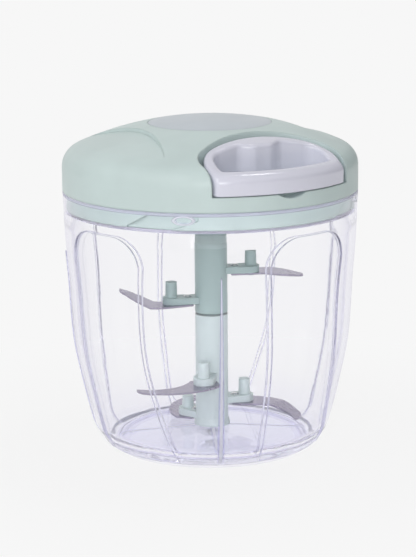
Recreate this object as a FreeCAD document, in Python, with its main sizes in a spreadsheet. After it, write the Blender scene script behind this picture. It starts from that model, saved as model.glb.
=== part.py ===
import FreeCAD, Part
import Sketcher
import math
import os
import re
from FreeCAD import Placement, Rotation, Vector

# Pull-cord food chopper, millimetres. +Z is up, the origin is the middle of the foot ring's
# underside, and the handle is pulled along -Y. Angles are counted from -Y towards +X.

doc = FreeCAD.newDocument("PullCordChopper")
sheet = doc.addObject("Spreadsheet::Sheet", "Sizes")

SIZES = [
    ("Bowl", None, None),
    ("lid_radius", 65.0, "outside radius of the collar and the lid"),
    ("bowl_top_in", 0.3, "bowl under the collar, inside the lid's radius"),
    ("bowl_mid_in", 5.0, "bowl at mid height, inside the lid's radius"),
    ("bowl_low_in", 17.2, "bowl at its bottom edge, inside the lid's radius"),
    ("bowl_mid_height", 56.0, "height of the mid radius"),
    ("bowl_wall", 2.5, "wall thickness, level"),
    ("wall_extra", 0.8, "extra wall under the seal ledge"),
    ("floor_under", 5.0, "underside of the bowl's floor"),
    ("floor_thick", 2.6, "floor thickness"),
    ("floor_in", 7.3, "flat of the inner floor, inside the bottom edge"),
    ("floor_bend", 6.9, "height of the inner corner"),
    ("floor_flare", 7.5, "inner corner, outwards"),
    ("rim_height", 115.6, "top of the collar"),
    ("collar_high", 7.6, "collar, from its flare to the rim"),
    ("collar_wall", 1.6, "collar thickness"),
    ("ledge_deep", 8.6, "seal ledge below the rim"),
    ("ledge_reach", 1.4, "seal ledge, inwards"),
    ("arch_left", 18.1, "left side of an arched panel at the floor, from its middle"),
    ("arch_right", 25.0, "right side at the outline's foot"),
    ("arch_waist", 15.0, "right side at the panel's waist"),
    ("arch_shoulder", 16.0, "right side under the arch's corner"),
    ("arch_down", 12.4, "top of an arched panel below the rim"),
    ("arch_round", 13.0, "corner radius of an arched panel"),
    ("arch_depth", 1.0, "step of an arched panel"),
    ("arch_slope", 0.0835, "lean of the left side, sideways per height"),
    ("arch_turn", 15.0, "direction that the first panel faces"),
    ("crease_angle", -28.0, "direction of the first crease between the panels"),
    ("crease_high", 0.45, "crease above the wall"),
    ("crease_wide", 1.0, "half width of a crease at its foot"),
    ("crease_end", 27.0, "upper end of a crease below the rim"),
    ("rim_edge", 0.6, "round of the rim's outer edge"),
    ("stub_in", 7.3, "rib that holds the foot ring, inside the bottom edge"),
    ("stub_half", 1.0, "half the rib's thickness"),
    ("stub_drop", 3.5, "rib below the floor"),
    ("boss_radius", 5.0, "boss round the pivot pin"),
    ("boss_height", 3.3, "boss above the floor"),
    ("lug_angle", -42.0, "direction of the first bayonet lug"),
    ("lug_length", 7.4, "lug, round the collar"),
    ("lug_width", 3.7, "lug, up and down"),
    ("lug_down", 2.5, "middle of the lugs below the rim"),
    ("lug_reach", 1.2, "how far a lug stands inside the collar"),
    ("lug_gap", 0.3, "clearance of a lug in its track"),
    ("Foot ring", None, None),
    ("foot_step", 3.4, "foot ring inside the bowl's bottom edge"),
    ("foot_wide", 7.4, "foot ring, across"),
    ("foot_play", 0.3, "foot ring below the floor"),
    ("foot_gap", 0.1, "clearance round the rib"),
    ("Blade unit", None, None),
    ("pin_radius", 2.0, "steel pivot pin"),
    ("pin_sunk", 1.4, "pin below the inner floor"),
    ("pin_length", 19.8, "length of the pin"),
    ("run_gap", 0.05, "radial running clearance"),
    ("rest_gap", 0.3, "axial clearance between moving pieces"),
    ("bush_radius", 3.5, "outside radius of the pivot bush"),
    ("hub_radius", 7.2, "blade hub"),
    ("hub_flare", 0.8, "flare at the hub's foot"),
    ("hub_lift", 0.6, "hub above the floor"),
    ("hub_seam", 59.5, "seam between the lower and the upper hub"),
    ("joint_square", 8.0, "square spigot across flats"),
    ("joint_length", 8.7, "square spigot length"),
    ("neck_length", 9.5, "neck above the upper hub's collar"),
    ("neck_radius", 7.0, "neck above the collar"),
    ("hex_clear", 0.6, "neck below the coupler"),
    ("hex_cover", 1.0, "coupler left above the hexagon"),
    ("hex_flats", 9.0, "hexagon across flats"),
    ("hex_gap", 0.15, "clearance of each hexagon flat"),
    ("arm_thick", 3.0, "arm thickness"),
    ("arm_half", 4.75, "half width of an arm"),
    ("rivet_out", 3.4, "rivet from the hub"),
    ("low_post_out", 4.6, "post from the rivet on the lower hub"),
    ("low_arm_end", 4.0, "arm beyond its post on the lower hub"),
    ("high_post_out", 7.25, "post from the rivet on the upper hub"),
    ("high_arm_end", 3.85, "arm beyond its post on the upper hub"),
    ("post_radius", 2.65, "post at its foot"),
    ("post_height", 6.9, "post above the arm"),
    ("post_low", 5.4, "post of the lowest arm"),
    ("post_taper", 1.5, "draft of the posts in degrees"),
    ("stake_radius", 1.6, "moulded stake through the blade"),
    ("stake_head", 2.3, "head of the stake"),
    ("stake_low", 0.7, "height of the stake's head"),
    ("rivet_radius", 1.2, "rivet shank"),
    ("rivet_head", 2.0, "rivet head"),
    ("rivet_rise", 0.7, "rivet head height"),
    ("blade_thick", 0.8, "blade steel"),
    ("tip_gap", 6.4, "lower blade tips inside the bowl's bottom edge"),
    ("high_span", 40.8, "upper blade tips from the axis"),
    ("low_bend_at", 21.0, "bend of a lower blade from the axis"),
    ("high_bend_at", 26.0, "bend of an upper blade from the axis"),
    ("low_a_angle", -45.8, "direction of lower arm a"),
    ("low_a_rise", 22.5, "lower arm a above the floor"),
    ("low_b_angle", 74.2, "direction of lower arm b"),
    ("low_b_rise", 10.1, "lower arm b above the floor"),
    ("low_c_angle", -165.8, "direction of lower arm c"),
    ("low_c_rise", 2.3, "lower arm c above the floor"),
    ("high_a_angle", 67.0, "direction of upper arm a"),
    ("high_a_rise", 18.0, "upper arm a above the seam"),
    ("high_b_angle", -113.0, "direction of upper arm b"),
    ("high_b_rise", 4.8, "upper arm b above the seam"),
    ("bend_low_b", -11.0, "bend of blade lower b in degrees"),
    ("bend_high_a", -4.0, "bend of blade upper a in degrees"),
    ("bend_high_b", 23.0, "bend of blade upper b in degrees"),
    ("Lid", None, None),
    ("lid_height", 31.5, "top of the dome above the rim"),
    ("dome_radius", 148.0, "sphere of the dome"),
    ("skirt_round", 9.3, "round between dome and skirt"),
    ("cover_wall", 2.2, "cover thickness"),
    ("lid_gap", 0.2, "cover above the bowl's rim"),
    ("disc_margin", 4.1, "cap disc from the handle's recess"),
    ("disc_thick", 1.6, "cap disc thickness"),
    ("disc_gap", 0.2, "clearance round the disc"),
    ("ring_thick", 3.2, "bayonet ring"),
    ("ring_gap", 0.3, "bayonet ring inside the collar"),
    ("ring_lip", 2.4, "lip of the ring inside the cover"),
    ("plate_lift", 1.2, "lid floor above the ring's lower edge"),
    ("plate_thick", 2.0, "lid floor thickness"),
    ("bearing_radius", 9.6, "bearing of the coupler"),
    ("bearing_wall", 3.0, "bearing collar thickness"),
    ("bearing_drop", 2.9, "bearing collar below the lid floor"),
    ("bearing_rise", 2.1, "bearing collar above the lid floor"),
    ("track_rise", 2.74, "turn of the lid along the ring per unit of lift"),
    ("seal_wide", 1.75, "seal ring width"),
    ("seal_high", 1.1, "seal ring height"),
    ("seal_gap", 0.1, "seal ring below the bayonet ring"),
    ("pocket_rise", 6.6, "floor of the handle's recess above the rim"),
    ("pocket_thick", 2.8, "recess floor thickness"),
    ("pocket_wall", 2.2, "recess wall thickness"),
    ("pocket_deep", 34.0, "recess, from the lid's edge inwards"),
    ("notch_radius", 13.8, "thumb notch"),
    ("notch_depth", 1.9, "thumb notch depth"),
    ("scoop_radius", 93.0, "grip scoop edge in plan"),
    ("scoop_margin", 5.5, "grip scoop from the cap disc"),
    ("scoop_angle", 95.0, "direction of the grip scoops"),
    ("scoop_in", 10.0, "outer end of a grip scoop inside the lid's radius"),
    ("scoop_depth", 1.6, "step of a grip scoop"),
    ("screw_in", 15.0, "cover screws inside the lid's radius"),
    ("screw_angle", 50.0, "direction of the first cover screw"),
    ("screw_radius", 1.45, "cover screw"),
    ("screw_head", 2.8, "cover screw head"),
    ("screw_high", 1.5, "cover screw head height"),
    ("screw_length", 10.0, "cover screw in its boss"),
    ("screw_boss", 4.2, "boss of a cover screw"),
    ("Drive", None, None),
    ("axle_radius", 2.5, "steel axle"),
    ("arbor_radius", 5.0, "axle inside the spring"),
    ("axle_seat", 3.5, "axle in the cover's boss"),
    ("axle_under", 7.0, "upper end of the axle below the dome's top"),
    ("axle_boss", 7.0, "boss of the cover round the axle"),
    ("clip_radius", 4.4, "spring clip on the axle"),
    ("clip_thick", 0.5, "spring clip thickness"),
    ("cup_radius", 16.0, "ratchet cup outside"),
    ("cup_wall", 1.4, "ratchet cup wall"),
    ("cup_floor", 1.6, "ratchet cup floor"),
    ("cup_depth", 5.9, "ratchet cup depth"),
    ("cup_gap", 1.2, "ratchet cup below the spool"),
    ("tooth_high", 1.0, "ratchet tooth height"),
    ("tooth_place", 11.4, "direction of the first tooth face"),
    ("tooth_count", 12.0, "ratchet teeth"),
    ("coupler_length", 9.2, "coupler below its cup"),
    ("spool_gap", 3.8, "spool from the recess wall"),
    ("flange_thick", 2.0, "lower spool flange"),
    ("groove_deep", 5.0, "cord groove depth"),
    ("groove_high", 6.0, "cord groove height"),
    ("drum_wall", 2.2, "spool drum wall"),
    ("rim_thick", 1.5, "upper spool flange"),
    ("hub_room", 0.8, "pawl from the spool's hub"),
    ("cap_thick", 1.2, "spring cap"),
    ("cap_step", 3.0, "spring cap inside the flange"),
    ("spring_strip", 0.5, "recoil spring strip"),
    ("spring_turns", 5.0, "recoil spring turns"),
    ("spring_gap", 0.4, "recoil spring from the arbor and the flanges"),
    ("pawl_in", 7.0, "pawl pivot inside the ratchet cup"),
    ("pawl_high", 4.3, "pawl height"),
    ("pawl_swing", 24.0, "pawl travel in degrees"),
    ("pawl_end", 2.2, "pawl end radius"),
    ("pawl_pin", 1.25, "pawl pin radius"),
    ("pawl_sunk", 1.5, "pawl pin in the flange"),
    ("Handle", None, None),
    ("cord_radius", 1.1, "pull cord"),
    ("cord_bend", 8.0, "bend of the cord at the eyelet"),
    ("corner_in", 5.0, "corner of the cord's route inside the recess wall"),
    ("cord_play", 0.4, "clearance round the cord"),
    ("eyelet_wall", 0.8, "eyelet tube wall"),
    ("eyelet_lip", 1.3, "eyelet flange beyond its tube"),
    ("bead_wall", 0.8, "bead beyond the cord's hole"),
    ("bead_length", 2.4, "bead length"),
    ("bead_deep", 2.6, "bead seat in the thumb pad"),
    ("handle_gap", 2.3, "handle from the recess wall"),
    ("side_gap", 1.6, "handle from the recess sides"),
    ("handle_drop", 1.0, "handle below the dome"),
    ("handle_round", 4.5, "round of the handle's front edge"),
    ("handle_front", 6.5, "depth of the handle's front bar"),
    ("handle_wall", 4.6, "handle back wall"),
    ("pad_thick", 4.0, "thumb pad inside the handle's loop"),
    ("handle_half", 32.4, "half width of the handle"),
    ("handle_side", 5.4, "handle side wall"),
    ("pad_half", 6.2, "half width of the thumb pad"),
]

row = 0
NAMES = []
for name, value, note in SIZES:
    row += 1
    sheet.set("A%d" % row, name)
    if value is not None:
        sheet.set("B%d" % row, repr(value))
        sheet.set("C%d" % row, note)
        sheet.setAlias("B%d" % row, name)
        NAMES.append(name)
doc.recompute()

# Places that follow from the sizes: what seats on or fits in another piece takes its place
# from the same values.
LINKS = [
    ("bowl_top_radius", "lid_radius - bowl_top_in"),
    ("bowl_mid_radius", "lid_radius - bowl_mid_in"),
    ("bowl_low_radius", "lid_radius - bowl_low_in"),
    ("bowl_top_height", "rim_height - collar_high"),
    ("ledge_height", "rim_height - ledge_deep"),
    ("inner_top", "bowl_top_radius - bowl_wall - wall_extra"),
    ("ledge_radius", "inner_top - ledge_reach"),
    ("floor_top", "floor_under + floor_thick"),
    ("floor_radius", "bowl_low_radius - floor_in"),
    ("arch_top", "rim_height - arch_down"),
    ("stub_radius", "bowl_low_radius - stub_in"),
    ("stub_height", "floor_under - stub_drop"),
    ("lug_height", "rim_height - lug_down"),
    ("foot_radius", "bowl_low_radius - foot_step"),
    ("foot_inner", "foot_radius - foot_wide"),
    ("foot_height", "floor_under - foot_play"),
    ("pin_top", "floor_top - pin_sunk + pin_length"),
    ("hub_bottom", "floor_top + hub_lift"),
    ("rivet_place", "hub_radius + rivet_out"),
    ("low_post", "rivet_place + low_post_out"),
    ("low_reach", "low_post + low_arm_end"),
    ("high_post", "rivet_place + high_post_out"),
    ("high_reach", "high_post + high_arm_end"),
    ("low_a_height", "floor_top + low_a_rise"),
    ("low_b_height", "floor_top + low_b_rise"),
    ("low_c_height", "floor_top + low_c_rise"),
    ("high_a_height", "hub_seam + high_a_rise"),
    ("high_b_height", "hub_seam + high_b_rise"),
    ("low_span", "bowl_low_radius - tip_gap"),
    ("apex_height", "rim_height + lid_height"),
    ("ring_bottom", "ledge_height + seal_high + seal_gap"),
    ("plate_bottom", "ring_bottom + plate_lift"),
    ("plate_top", "plate_bottom + plate_thick"),
    ("track_depth", "lug_reach + lug_gap - ring_gap"),
    ("track_top", "lug_height + lug_width / 2 + lug_gap"),
    ("pocket_floor", "rim_height + pocket_rise"),
    ("pocket_back", "lid_radius - pocket_deep"),
    ("disc_radius", "pocket_back - disc_margin"),
    ("scoop_start", "disc_radius + scoop_margin"),
    ("scoop_end", "lid_radius - scoop_in"),
    ("screw_circle", "lid_radius - screw_in"),
    ("axle_top", "apex_height - axle_under"),
    ("bearing_top", "plate_top + bearing_rise"),
    ("cup_bottom", "bearing_top + rest_gap"),
    ("cup_inside", "cup_bottom + cup_floor"),
    ("tooth_tip", "cup_radius - cup_wall - tooth_high"),
    ("hex_start", "cup_bottom - coupler_length - hex_clear"),
    ("hex_end", "cup_inside - hex_cover - 0.4"),
    ("hub_collar", "hex_start - neck_length"),
    ("pawl_place", "cup_radius - pawl_in"),
    ("spool_hub", "pawl_place - pawl_end - hub_room"),
    ("flange_bottom", "cup_inside + cup_depth + cup_gap"),
    ("flange_top", "flange_bottom + flange_thick"),
    ("groove_top", "flange_top + groove_high"),
    ("drum_top", "groove_top + rim_thick"),
    ("cap_top", "drum_top + cap_thick"),
    ("flange_radius", "pocket_back - pocket_wall - spool_gap"),
    ("drum_radius", "flange_radius - groove_deep"),
    ("cap_radius", "flange_radius - cap_step"),
    ("cord_z", "flange_top + groove_high / 2"),
    ("cord_corner", "pocket_back - corner_in"),
    ("cord_hole", "cord_radius + cord_play"),
    ("eyelet_tube", "cord_hole + eyelet_wall"),
    ("eyelet_flange", "eyelet_tube + eyelet_lip"),
    ("bead_radius", "cord_hole + bead_wall"),
    ("handle_back", "pocket_back + handle_gap"),
    ("cord_seat", "handle_back + handle_wall + pad_thick - bead_deep"),
]
WORDS = re.compile(r"\b(" + "|".join(NAMES) + r")\b")
linked = {}
for name, text in LINKS:
    linked[name] = "(" + re.sub(r"\w+", lambda m: linked.get(m.group(), m.group()), text) + ")"


def spelled(text):
    """An expression with every linked place written out in the sheet's own names."""
    return re.sub(r"[A-Za-z_]\w*", lambda m: linked.get(m.group(), m.group()), str(text))


def num(text):
    """The value of an expression in the sheet's names."""
    return float(sheet.evalExpression(spelled(text)))


def tied(text):
    """The same expression as another object writes it."""
    return WORDS.sub(r"Sizes.\1", spelled(text))


def bind(obj, prop, text):
    obj.setExpression(prop, tied(text))


def arc_through(a, m, b):
    """A counter-clockwise arc through three points, and which of its ends are a and b."""
    circle = Part.Circle(a, m, b)
    centre = circle.Center
    turns_left = (m - a).cross(b - m).z > 0
    first, last = (a, b) if turns_left else (b, a)
    t0 = math.atan2(first.y - centre.y, first.x - centre.x)
    t1 = math.atan2(last.y - centre.y, last.x - centre.x)
    if t1 < t0:
        t1 += 2 * math.pi
    arc = Part.ArcOfCircle(Part.Circle(centre, Vector(0, 0, 1), circle.Radius), t0, t1)
    return arc, ((1, 2) if turns_left else (2, 1))


def place_point(sk, geo, end, x, y):
    """Tie a sketch point to the expressions of its two coordinates."""
    for kind, axis, text in (("DistanceX", -2, x), ("DistanceY", -1, y)):
        if str(text) == "0":
            sk.addConstraint(Sketcher.Constraint("PointOnObject", geo, end, axis))
            continue
        index = sk.addConstraint(Sketcher.Constraint(kind, -1, 1, geo, end, num(text)))
        sk.setExpression("Constraints[%d]" % index, tied(text))


def draw(sk, loop):
    """A closed outline. (x, y) is a corner, (x, y, r) a rounded one, and ("via", x, y)
    makes an arc through that point of the stretch between its neighbours."""
    corners = [c for c in loop if c[0] != "via"]
    via = {}
    seen = 0
    for c in loop:
        if c[0] == "via":
            via[seen - 1] = c[1:]
        else:
            seen += 1
    count = len(corners)
    at = [Vector(num(c[0]), num(c[1]), 0) for c in corners]
    into = list(at)
    out = list(at)
    for i, c in enumerate(corners):
        if len(c) == 3:
            back = (at[i - 1] - at[i]).normalize()
            ahead = (at[(i + 1) % count] - at[i]).normalize()
            cut = num(c[2]) / math.tan(back.getAngle(ahead) / 2)
            into[i] = at[i] + back * cut
            out[i] = at[i] + ahead * cut
    run = []
    for i in range(count):
        a, b = out[i], into[(i + 1) % count]
        if i in via:
            arc, ends = arc_through(a, Vector(num(via[i][0]), num(via[i][1]), 0), b)
            run.append((sk.addGeometry(arc, False),) + ends)
        else:
            run.append((sk.addGeometry(Part.LineSegment(a, b), False), 1, 2))
    for i, c in enumerate(corners):
        here, start, _ = run[i]
        before, _, end = run[i - 1]
        if len(c) == 3:
            back = (at[i - 1] - at[i]).normalize()
            ahead = (at[(i + 1) % count] - at[i]).normalize()
            half = (back + ahead).normalize()
            far = num(c[2]) / math.sin(back.getAngle(ahead) / 2)
            middle = at[i] + half * (far - num(c[2]))
            arc, ends = arc_through(into[i], middle, out[i])
            bend = sk.addGeometry(arc, False)
            corner = sk.addGeometry(Part.Point(at[i]), True)
            sk.addConstraint(Sketcher.Constraint("Tangent", before, end, bend, ends[0]))
            sk.addConstraint(Sketcher.Constraint("Tangent", bend, ends[1], here, start))
            index = sk.addConstraint(Sketcher.Constraint("Radius", bend, num(c[2])))
            sk.setExpression("Constraints[%d]" % index, tied(c[2]))
            sk.addConstraint(Sketcher.Constraint("PointOnObject", corner, 1, before))
            sk.addConstraint(Sketcher.Constraint("PointOnObject", corner, 1, here))
            place_point(sk, corner, 1, c[0], c[1])
        else:
            sk.addConstraint(Sketcher.Constraint("Coincident", before, end, here, start))
            place_point(sk, here, start, c[0], c[1])
    for i, point in via.items():
        mark = sk.addGeometry(Part.Point(Vector(num(point[0]), num(point[1]), 0)), True)
        sk.addConstraint(Sketcher.Constraint("PointOnObject", mark, 1, run[i][0]))
        place_point(sk, mark, 1, point[0], point[1])


def ring(sk, x, y, r):
    """A full circle."""
    circle = Part.Circle(Vector(num(x), num(y), 0), Vector(0, 0, 1), num(r))
    geo = sk.addGeometry(circle, False)
    index = sk.addConstraint(Sketcher.Constraint("Radius", geo, num(r)))
    sk.setExpression("Constraints[%d]" % index, tied(r))
    place_point(sk, geo, 3, x, y)


def new_body(label):
    body = doc.addObject("PartDesign::Body", label)
    body.Label = label
    return body


def new_sketch(body, role, loops=(), rings=(), lift=None, turn=None):
    """A sketch on one of the body's own planes, moved along and turned about its normal."""
    sk = body.newObject("Sketcher::SketchObject", body.Label + "_sketch")
    support = [f for f in body.Origin.OriginFeatures if f.Role == role][0]
    sk.AttachmentSupport = [(support, "")]
    sk.MapMode = "FlatFace"
    sk.AttachmentOffset = Placement(Vector(0, 0, 0), Rotation(Vector(0, 0, 1), 1))
    if lift is not None:
        bind(sk, ".AttachmentOffset.Base.z", lift)
    bind(sk, ".AttachmentOffset.Rotation.Angle", "0" if turn is None else turn)
    for loop in loops:
        draw(sk, loop)
    for x, y, r in rings:
        ring(sk, x, y, r)
    return sk


def revolve(body, sk, angle=360):
    feature = body.newObject("PartDesign::Revolution", body.Label + "_turned")
    feature.Profile = sk
    feature.ReferenceAxis = (sk, ["V_Axis"])
    feature.Angle = angle
    return feature


def pad(body, sk, length, taper=None, reverse=False):
    feature = body.newObject("PartDesign::Pad", body.Label + "_pad")
    feature.Profile = sk
    bind(feature, "Length", length)
    feature.Reversed = reverse
    if taper is not None:
        bind(feature, "TaperAngle", taper)
    return feature


def pocket(body, sk, length, reverse=False):
    feature = body.newObject("PartDesign::Pocket", body.Label + "_pocket")
    feature.Profile = sk
    bind(feature, "Length", length)
    feature.Reversed = reverse
    return feature


def around(body, feature, count):
    """Repeat a feature round the body's Z axis."""
    pattern = body.newObject("PartDesign::PolarPattern", body.Label + "_round")
    axis = [f for f in body.Origin.OriginFeatures if f.Role == "Z_Axis"][0]
    pattern.Originals = [feature]
    pattern.Axis = (axis, [""])
    pattern.Angle = 360
    bind(pattern, "Occurrences", count)
    body.Tip = pattern
    return pattern


def stand(obj, z=None, angle=None, x=None, y=None, axis=Vector(0, 0, 1)):
    """Place an object: a turn about an axis, then a shift, all tied to the sizes."""
    obj.Placement = Placement(Vector(0, 0, 0), Rotation(axis, 1))
    bind(obj, ".Placement.Rotation.Angle", "0" if angle is None else angle)
    for text, prop in ((x, "x"), (y, "y"), (z, "z")):
        if text is not None:
            bind(obj, ".Placement.Base." + prop, text)
    return obj


def cut(label, base, tool):
    obj = doc.addObject("Part::Cut", label)
    obj.Label = label
    obj.Base = base
    obj.Tool = tool
    return obj


def common(label, base, tool):
    obj = doc.addObject("Part::Common", label)
    obj.Label = label
    obj.Base = base
    obj.Tool = tool
    return obj


def fuse(label, shapes):
    obj = doc.addObject("Part::MultiFuse", label)
    obj.Label = label
    obj.Shapes = shapes
    return obj


def cylinder(label, radius, height, z, x="0", y="0"):
    obj = doc.addObject("Part::Cylinder", label)
    bind(obj, "Radius", radius)
    bind(obj, "Height", height)
    for text, prop in ((x, "x"), (y, "y"), (z, "z")):
        bind(obj, ".Placement.Base." + prop, text)
    return obj


def frustum(label, low, high, height, z, x="0", y="0"):
    obj = doc.addObject("Part::Cone", label)
    bind(obj, "Radius1", low)
    bind(obj, "Radius2", high)
    bind(obj, "Height", height)
    for text, prop in ((x, "x"), (y, "y"), (z, "z")):
        bind(obj, ".Placement.Base." + prop, text)
    return obj


def turned(label, *loops):
    """A body of revolution about Z from outlines in (radius, height)."""
    body = new_body(label)
    revolve(body, new_sketch(body, "XZ_Plane", loops))
    return body


NODES = []


def node(obj):
    NODES.append(obj)
    return obj


# ---------------------------------------------------------------- bowl

def bowl_outline(less, low, high):
    """The flared outside of the bowl, set inwards by less, between two heights."""
    return [
        ("bowl_low_radius - %s" % less, low),
        ("bowl_low_radius - %s" % less, "floor_under + 0.3"),
        ("via", "bowl_mid_radius - %s" % less, "bowl_mid_height"),
        ("bowl_top_radius - %s" % less, "bowl_top_height"),
        ("bowl_top_radius - %s" % less, high),
    ]


bowl_outside = turned("bowl_outside", [
    ("0", "floor_under"),
    ("stub_radius - stub_half", "floor_under"),
    ("stub_radius - stub_half", "stub_height"),
    ("stub_radius + stub_half", "stub_height"),
    ("stub_radius + stub_half", "floor_under"),
    ("bowl_low_radius - 0.8", "floor_under"),
    ("bowl_low_radius", "floor_under + 0.8"),
    ("via", "bowl_mid_radius", "bowl_mid_height"),
    ("bowl_top_radius", "bowl_top_height"),
    ("lid_radius", "bowl_top_height + 5"),
    ("lid_radius", "rim_height - rim_edge"),
    ("via", "lid_radius - 0.293 * rim_edge", "rim_height - 0.293 * rim_edge"),
    ("lid_radius - rim_edge", "rim_height"),
    ("0", "rim_height"),
])
bowl_relief = turned(
    "bowl_relief",
    [("0", "-9")] + bowl_outline("arch_depth", "-9", "140") + [("0", "140")],
)
inner_low = "(floor_radius + floor_flare)"
inner_mid = "(bowl_mid_radius - bowl_wall)"


def cavity_outline(less, low, high):
    return [
        ("0", low),
        ("floor_radius - %s" % less, low),
        ("floor_radius - %s" % less, "floor_top"),
        ("via", "floor_radius + 0.707 * floor_flare - %s" % less, "floor_top + 0.32 * floor_bend"),
        ("%s - %s" % (inner_low, less), "floor_top + floor_bend"),
        ("via", "%s - %s" % (inner_mid, less), "bowl_mid_height"),
        ("inner_top - %s" % less, "ledge_height - 6"),
        ("inner_top - %s" % less, high),
        ("0", high),
    ]


bowl_inside = turned("bowl_inside", [
    ("0", "floor_top"),
    ("floor_radius", "floor_top"),
    ("via", "floor_radius + 0.707 * floor_flare", "floor_top + 0.32 * floor_bend"),
    (inner_low, "floor_top + floor_bend"),
    ("via", inner_mid, "bowl_mid_height"),
    ("inner_top", "ledge_height - 6"),
    ("ledge_radius", "ledge_height - 2"),
    ("ledge_radius", "ledge_height"),
    ("lid_radius - collar_wall", "ledge_height"),
    ("lid_radius - collar_wall", "rim_height - 0.6"),
    ("lid_radius - collar_wall + 0.5", "rim_height + 0.1"),
    ("lid_radius - collar_wall + 0.5", "rim_height + 4"),
    ("0", "rim_height + 4"),
])
bowl_inner_relief = turned(
    "bowl_inner_relief", cavity_outline("arch_depth", "floor_top - 0.6", "140")
)

arches = new_body("arches")
arch_side = "(arch_left + arch_slope * (arch_top - arch_round))"
arch_sketch = new_sketch(arches, "XZ_Plane", [[
    ("-(arch_left - 9 * arch_slope)", "-9"),
    ("arch_right", "-9"),
    ("via", "arch_waist", "0.4 * rim_height"),
    ("arch_shoulder", "arch_top - arch_round"),
    ("via", "arch_shoulder - 0.293 * arch_round", "arch_top - 0.293 * arch_round"),
    ("arch_shoulder - arch_round", "arch_top"),
    ("-(%s - arch_round)" % arch_side, "arch_top"),
    ("via", "-(%s - 0.293 * arch_round)" % arch_side, "arch_top - 0.293 * arch_round"),
    ("-%s" % arch_side, "arch_top - arch_round"),
]], lift="20")
around(arches, pad(arches, arch_sketch, "60"), "4")
stand(arches, angle="arch_turn")

bowl_shell = cut(
    "bowl_shell",
    cut("bowl_paneled", bowl_outside, cut("arch_recess", arches, bowl_relief)),
    cut("bowl_cavity", bowl_inside, cut("arch_pads", arches, bowl_inner_relief)),
)
lugs = new_body("lugs")
lug_half = "(lug_length - lug_width) / 2"
lug_sketch = new_sketch(lugs, "XZ_Plane", [[
    ("-%s" % lug_half, "lug_height - lug_width / 2"),
    (lug_half, "lug_height - lug_width / 2"),
    ("via", "lug_length / 2", "lug_height"),
    (lug_half, "lug_height + lug_width / 2"),
    ("-%s" % lug_half, "lug_height + lug_width / 2"),
    ("via", "-lug_length / 2", "lug_height"),
]], lift="lid_radius - collar_wall - lug_reach")
around(lugs, pad(lugs, lug_sketch, "lug_reach + 0.8 * collar_wall"), "4")
stand(lugs, angle="lug_angle")
crease_strips = new_body("crease_strips")
crease_plan = new_sketch(crease_strips, "XZ_Plane", [[
    ("-crease_wide", "floor_under + 1.2"),
    ("crease_wide", "floor_under + 1.2"),
    ("0", "rim_height - crease_end"),
]], lift="20")
around(crease_strips, pad(crease_strips, crease_plan, "60"), "4")
stand(crease_strips, angle="crease_angle")
crease_skin = turned(
    "crease_skin",
    [("0", "floor_under")] + bowl_outline("(0 - crease_high)", "floor_under", "rim_height")
    + [("0", "rim_height")],
)
creases = cut("creases", common("crease_ribs", crease_strips, crease_skin), bowl_relief)
bowl_boss = cylinder("bowl_boss", "boss_radius", "boss_height + 1", "floor_top - 1")
pin_hole = cylinder(
    "pin_hole", "pin_radius", "pin_sunk + boss_height + 5", "floor_top - pin_sunk"
)
node(cut("bowl", fuse("bowl_whole", [bowl_shell, lugs, creases, bowl_boss]), pin_hole))

stub_in = "stub_radius - stub_half - foot_gap"
stub_out = "stub_radius + stub_half + foot_gap"
node(turned("foot_ring", [
    ("foot_inner + 0.8", "0"),
    ("foot_radius - 1.2", "0"),
    ("foot_radius", "1.4"),
    ("foot_radius - 0.5", "3.2"),
    ("foot_radius - 1.8", "foot_height"),
    (stub_out, "foot_height"),
    (stub_out, "stub_height - foot_gap"),
    (stub_in, "stub_height - foot_gap"),
    (stub_in, "foot_height"),
    ("foot_inner + 1.0", "foot_height"),
    ("foot_inner", "foot_height - 1.1"),
    ("foot_inner", "0.8"),
]))
node(turned("pivot_pin", [
    ("0", "floor_top - pin_sunk"),
    ("pin_radius", "floor_top - pin_sunk"),
    ("pin_radius", "pin_top - 0.6"),
    ("pin_radius - 0.7", "pin_top"),
    ("0", "pin_top"),
]))

# ---------------------------------------------------------------- blade unit

boss_top = "(floor_top + boss_height)"
bush_low = "(floor_top + boss_height + rest_gap)"


def add_arm(body, reach, post, angle, height, post_high):
    """An arm with its post on top, and the stake and rivet hole that hold the blade."""
    paddle = new_sketch(body, "XY_Plane", [[
        ("-0.86 * arm_half", "-(hub_radius - 1.2)"),
        ("-arm_half", "-(%s - arm_half)" % reach),
        ("via", "0", "-%s" % reach),
        ("arm_half", "-(%s - arm_half)" % reach),
        ("0.86 * arm_half", "-(hub_radius - 1.2)"),
    ]], lift=height, turn=angle)
    pad(body, paddle, "arm_thick")
    top = new_sketch(
        body, "XY_Plane", rings=[("0", "-%s" % post, "post_radius")],
        lift="%s + arm_thick" % height, turn=angle,
    )
    pad(body, top, post_high, taper="-post_taper")
    stake = new_sketch(
        body, "XY_Plane", rings=[("0", "-%s" % post, "stake_radius")],
        lift="%s - blade_thick" % height, turn=angle,
    )
    pad(body, stake, "blade_thick + 0.5")
    head = new_sketch(
        body, "XY_Plane", rings=[("0", "-%s" % post, "stake_head")],
        lift="%s - blade_thick" % height, turn=angle,
    )
    pad(body, head, "stake_low", taper="-32", reverse=True)
    hole = new_sketch(
        body, "XY_Plane", rings=[("0", "-rivet_place", "rivet_radius")],
        lift="%s - 0.5" % height, turn=angle,
    )
    pocket(body, hole, "arm_thick + 1", reverse=True)


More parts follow.
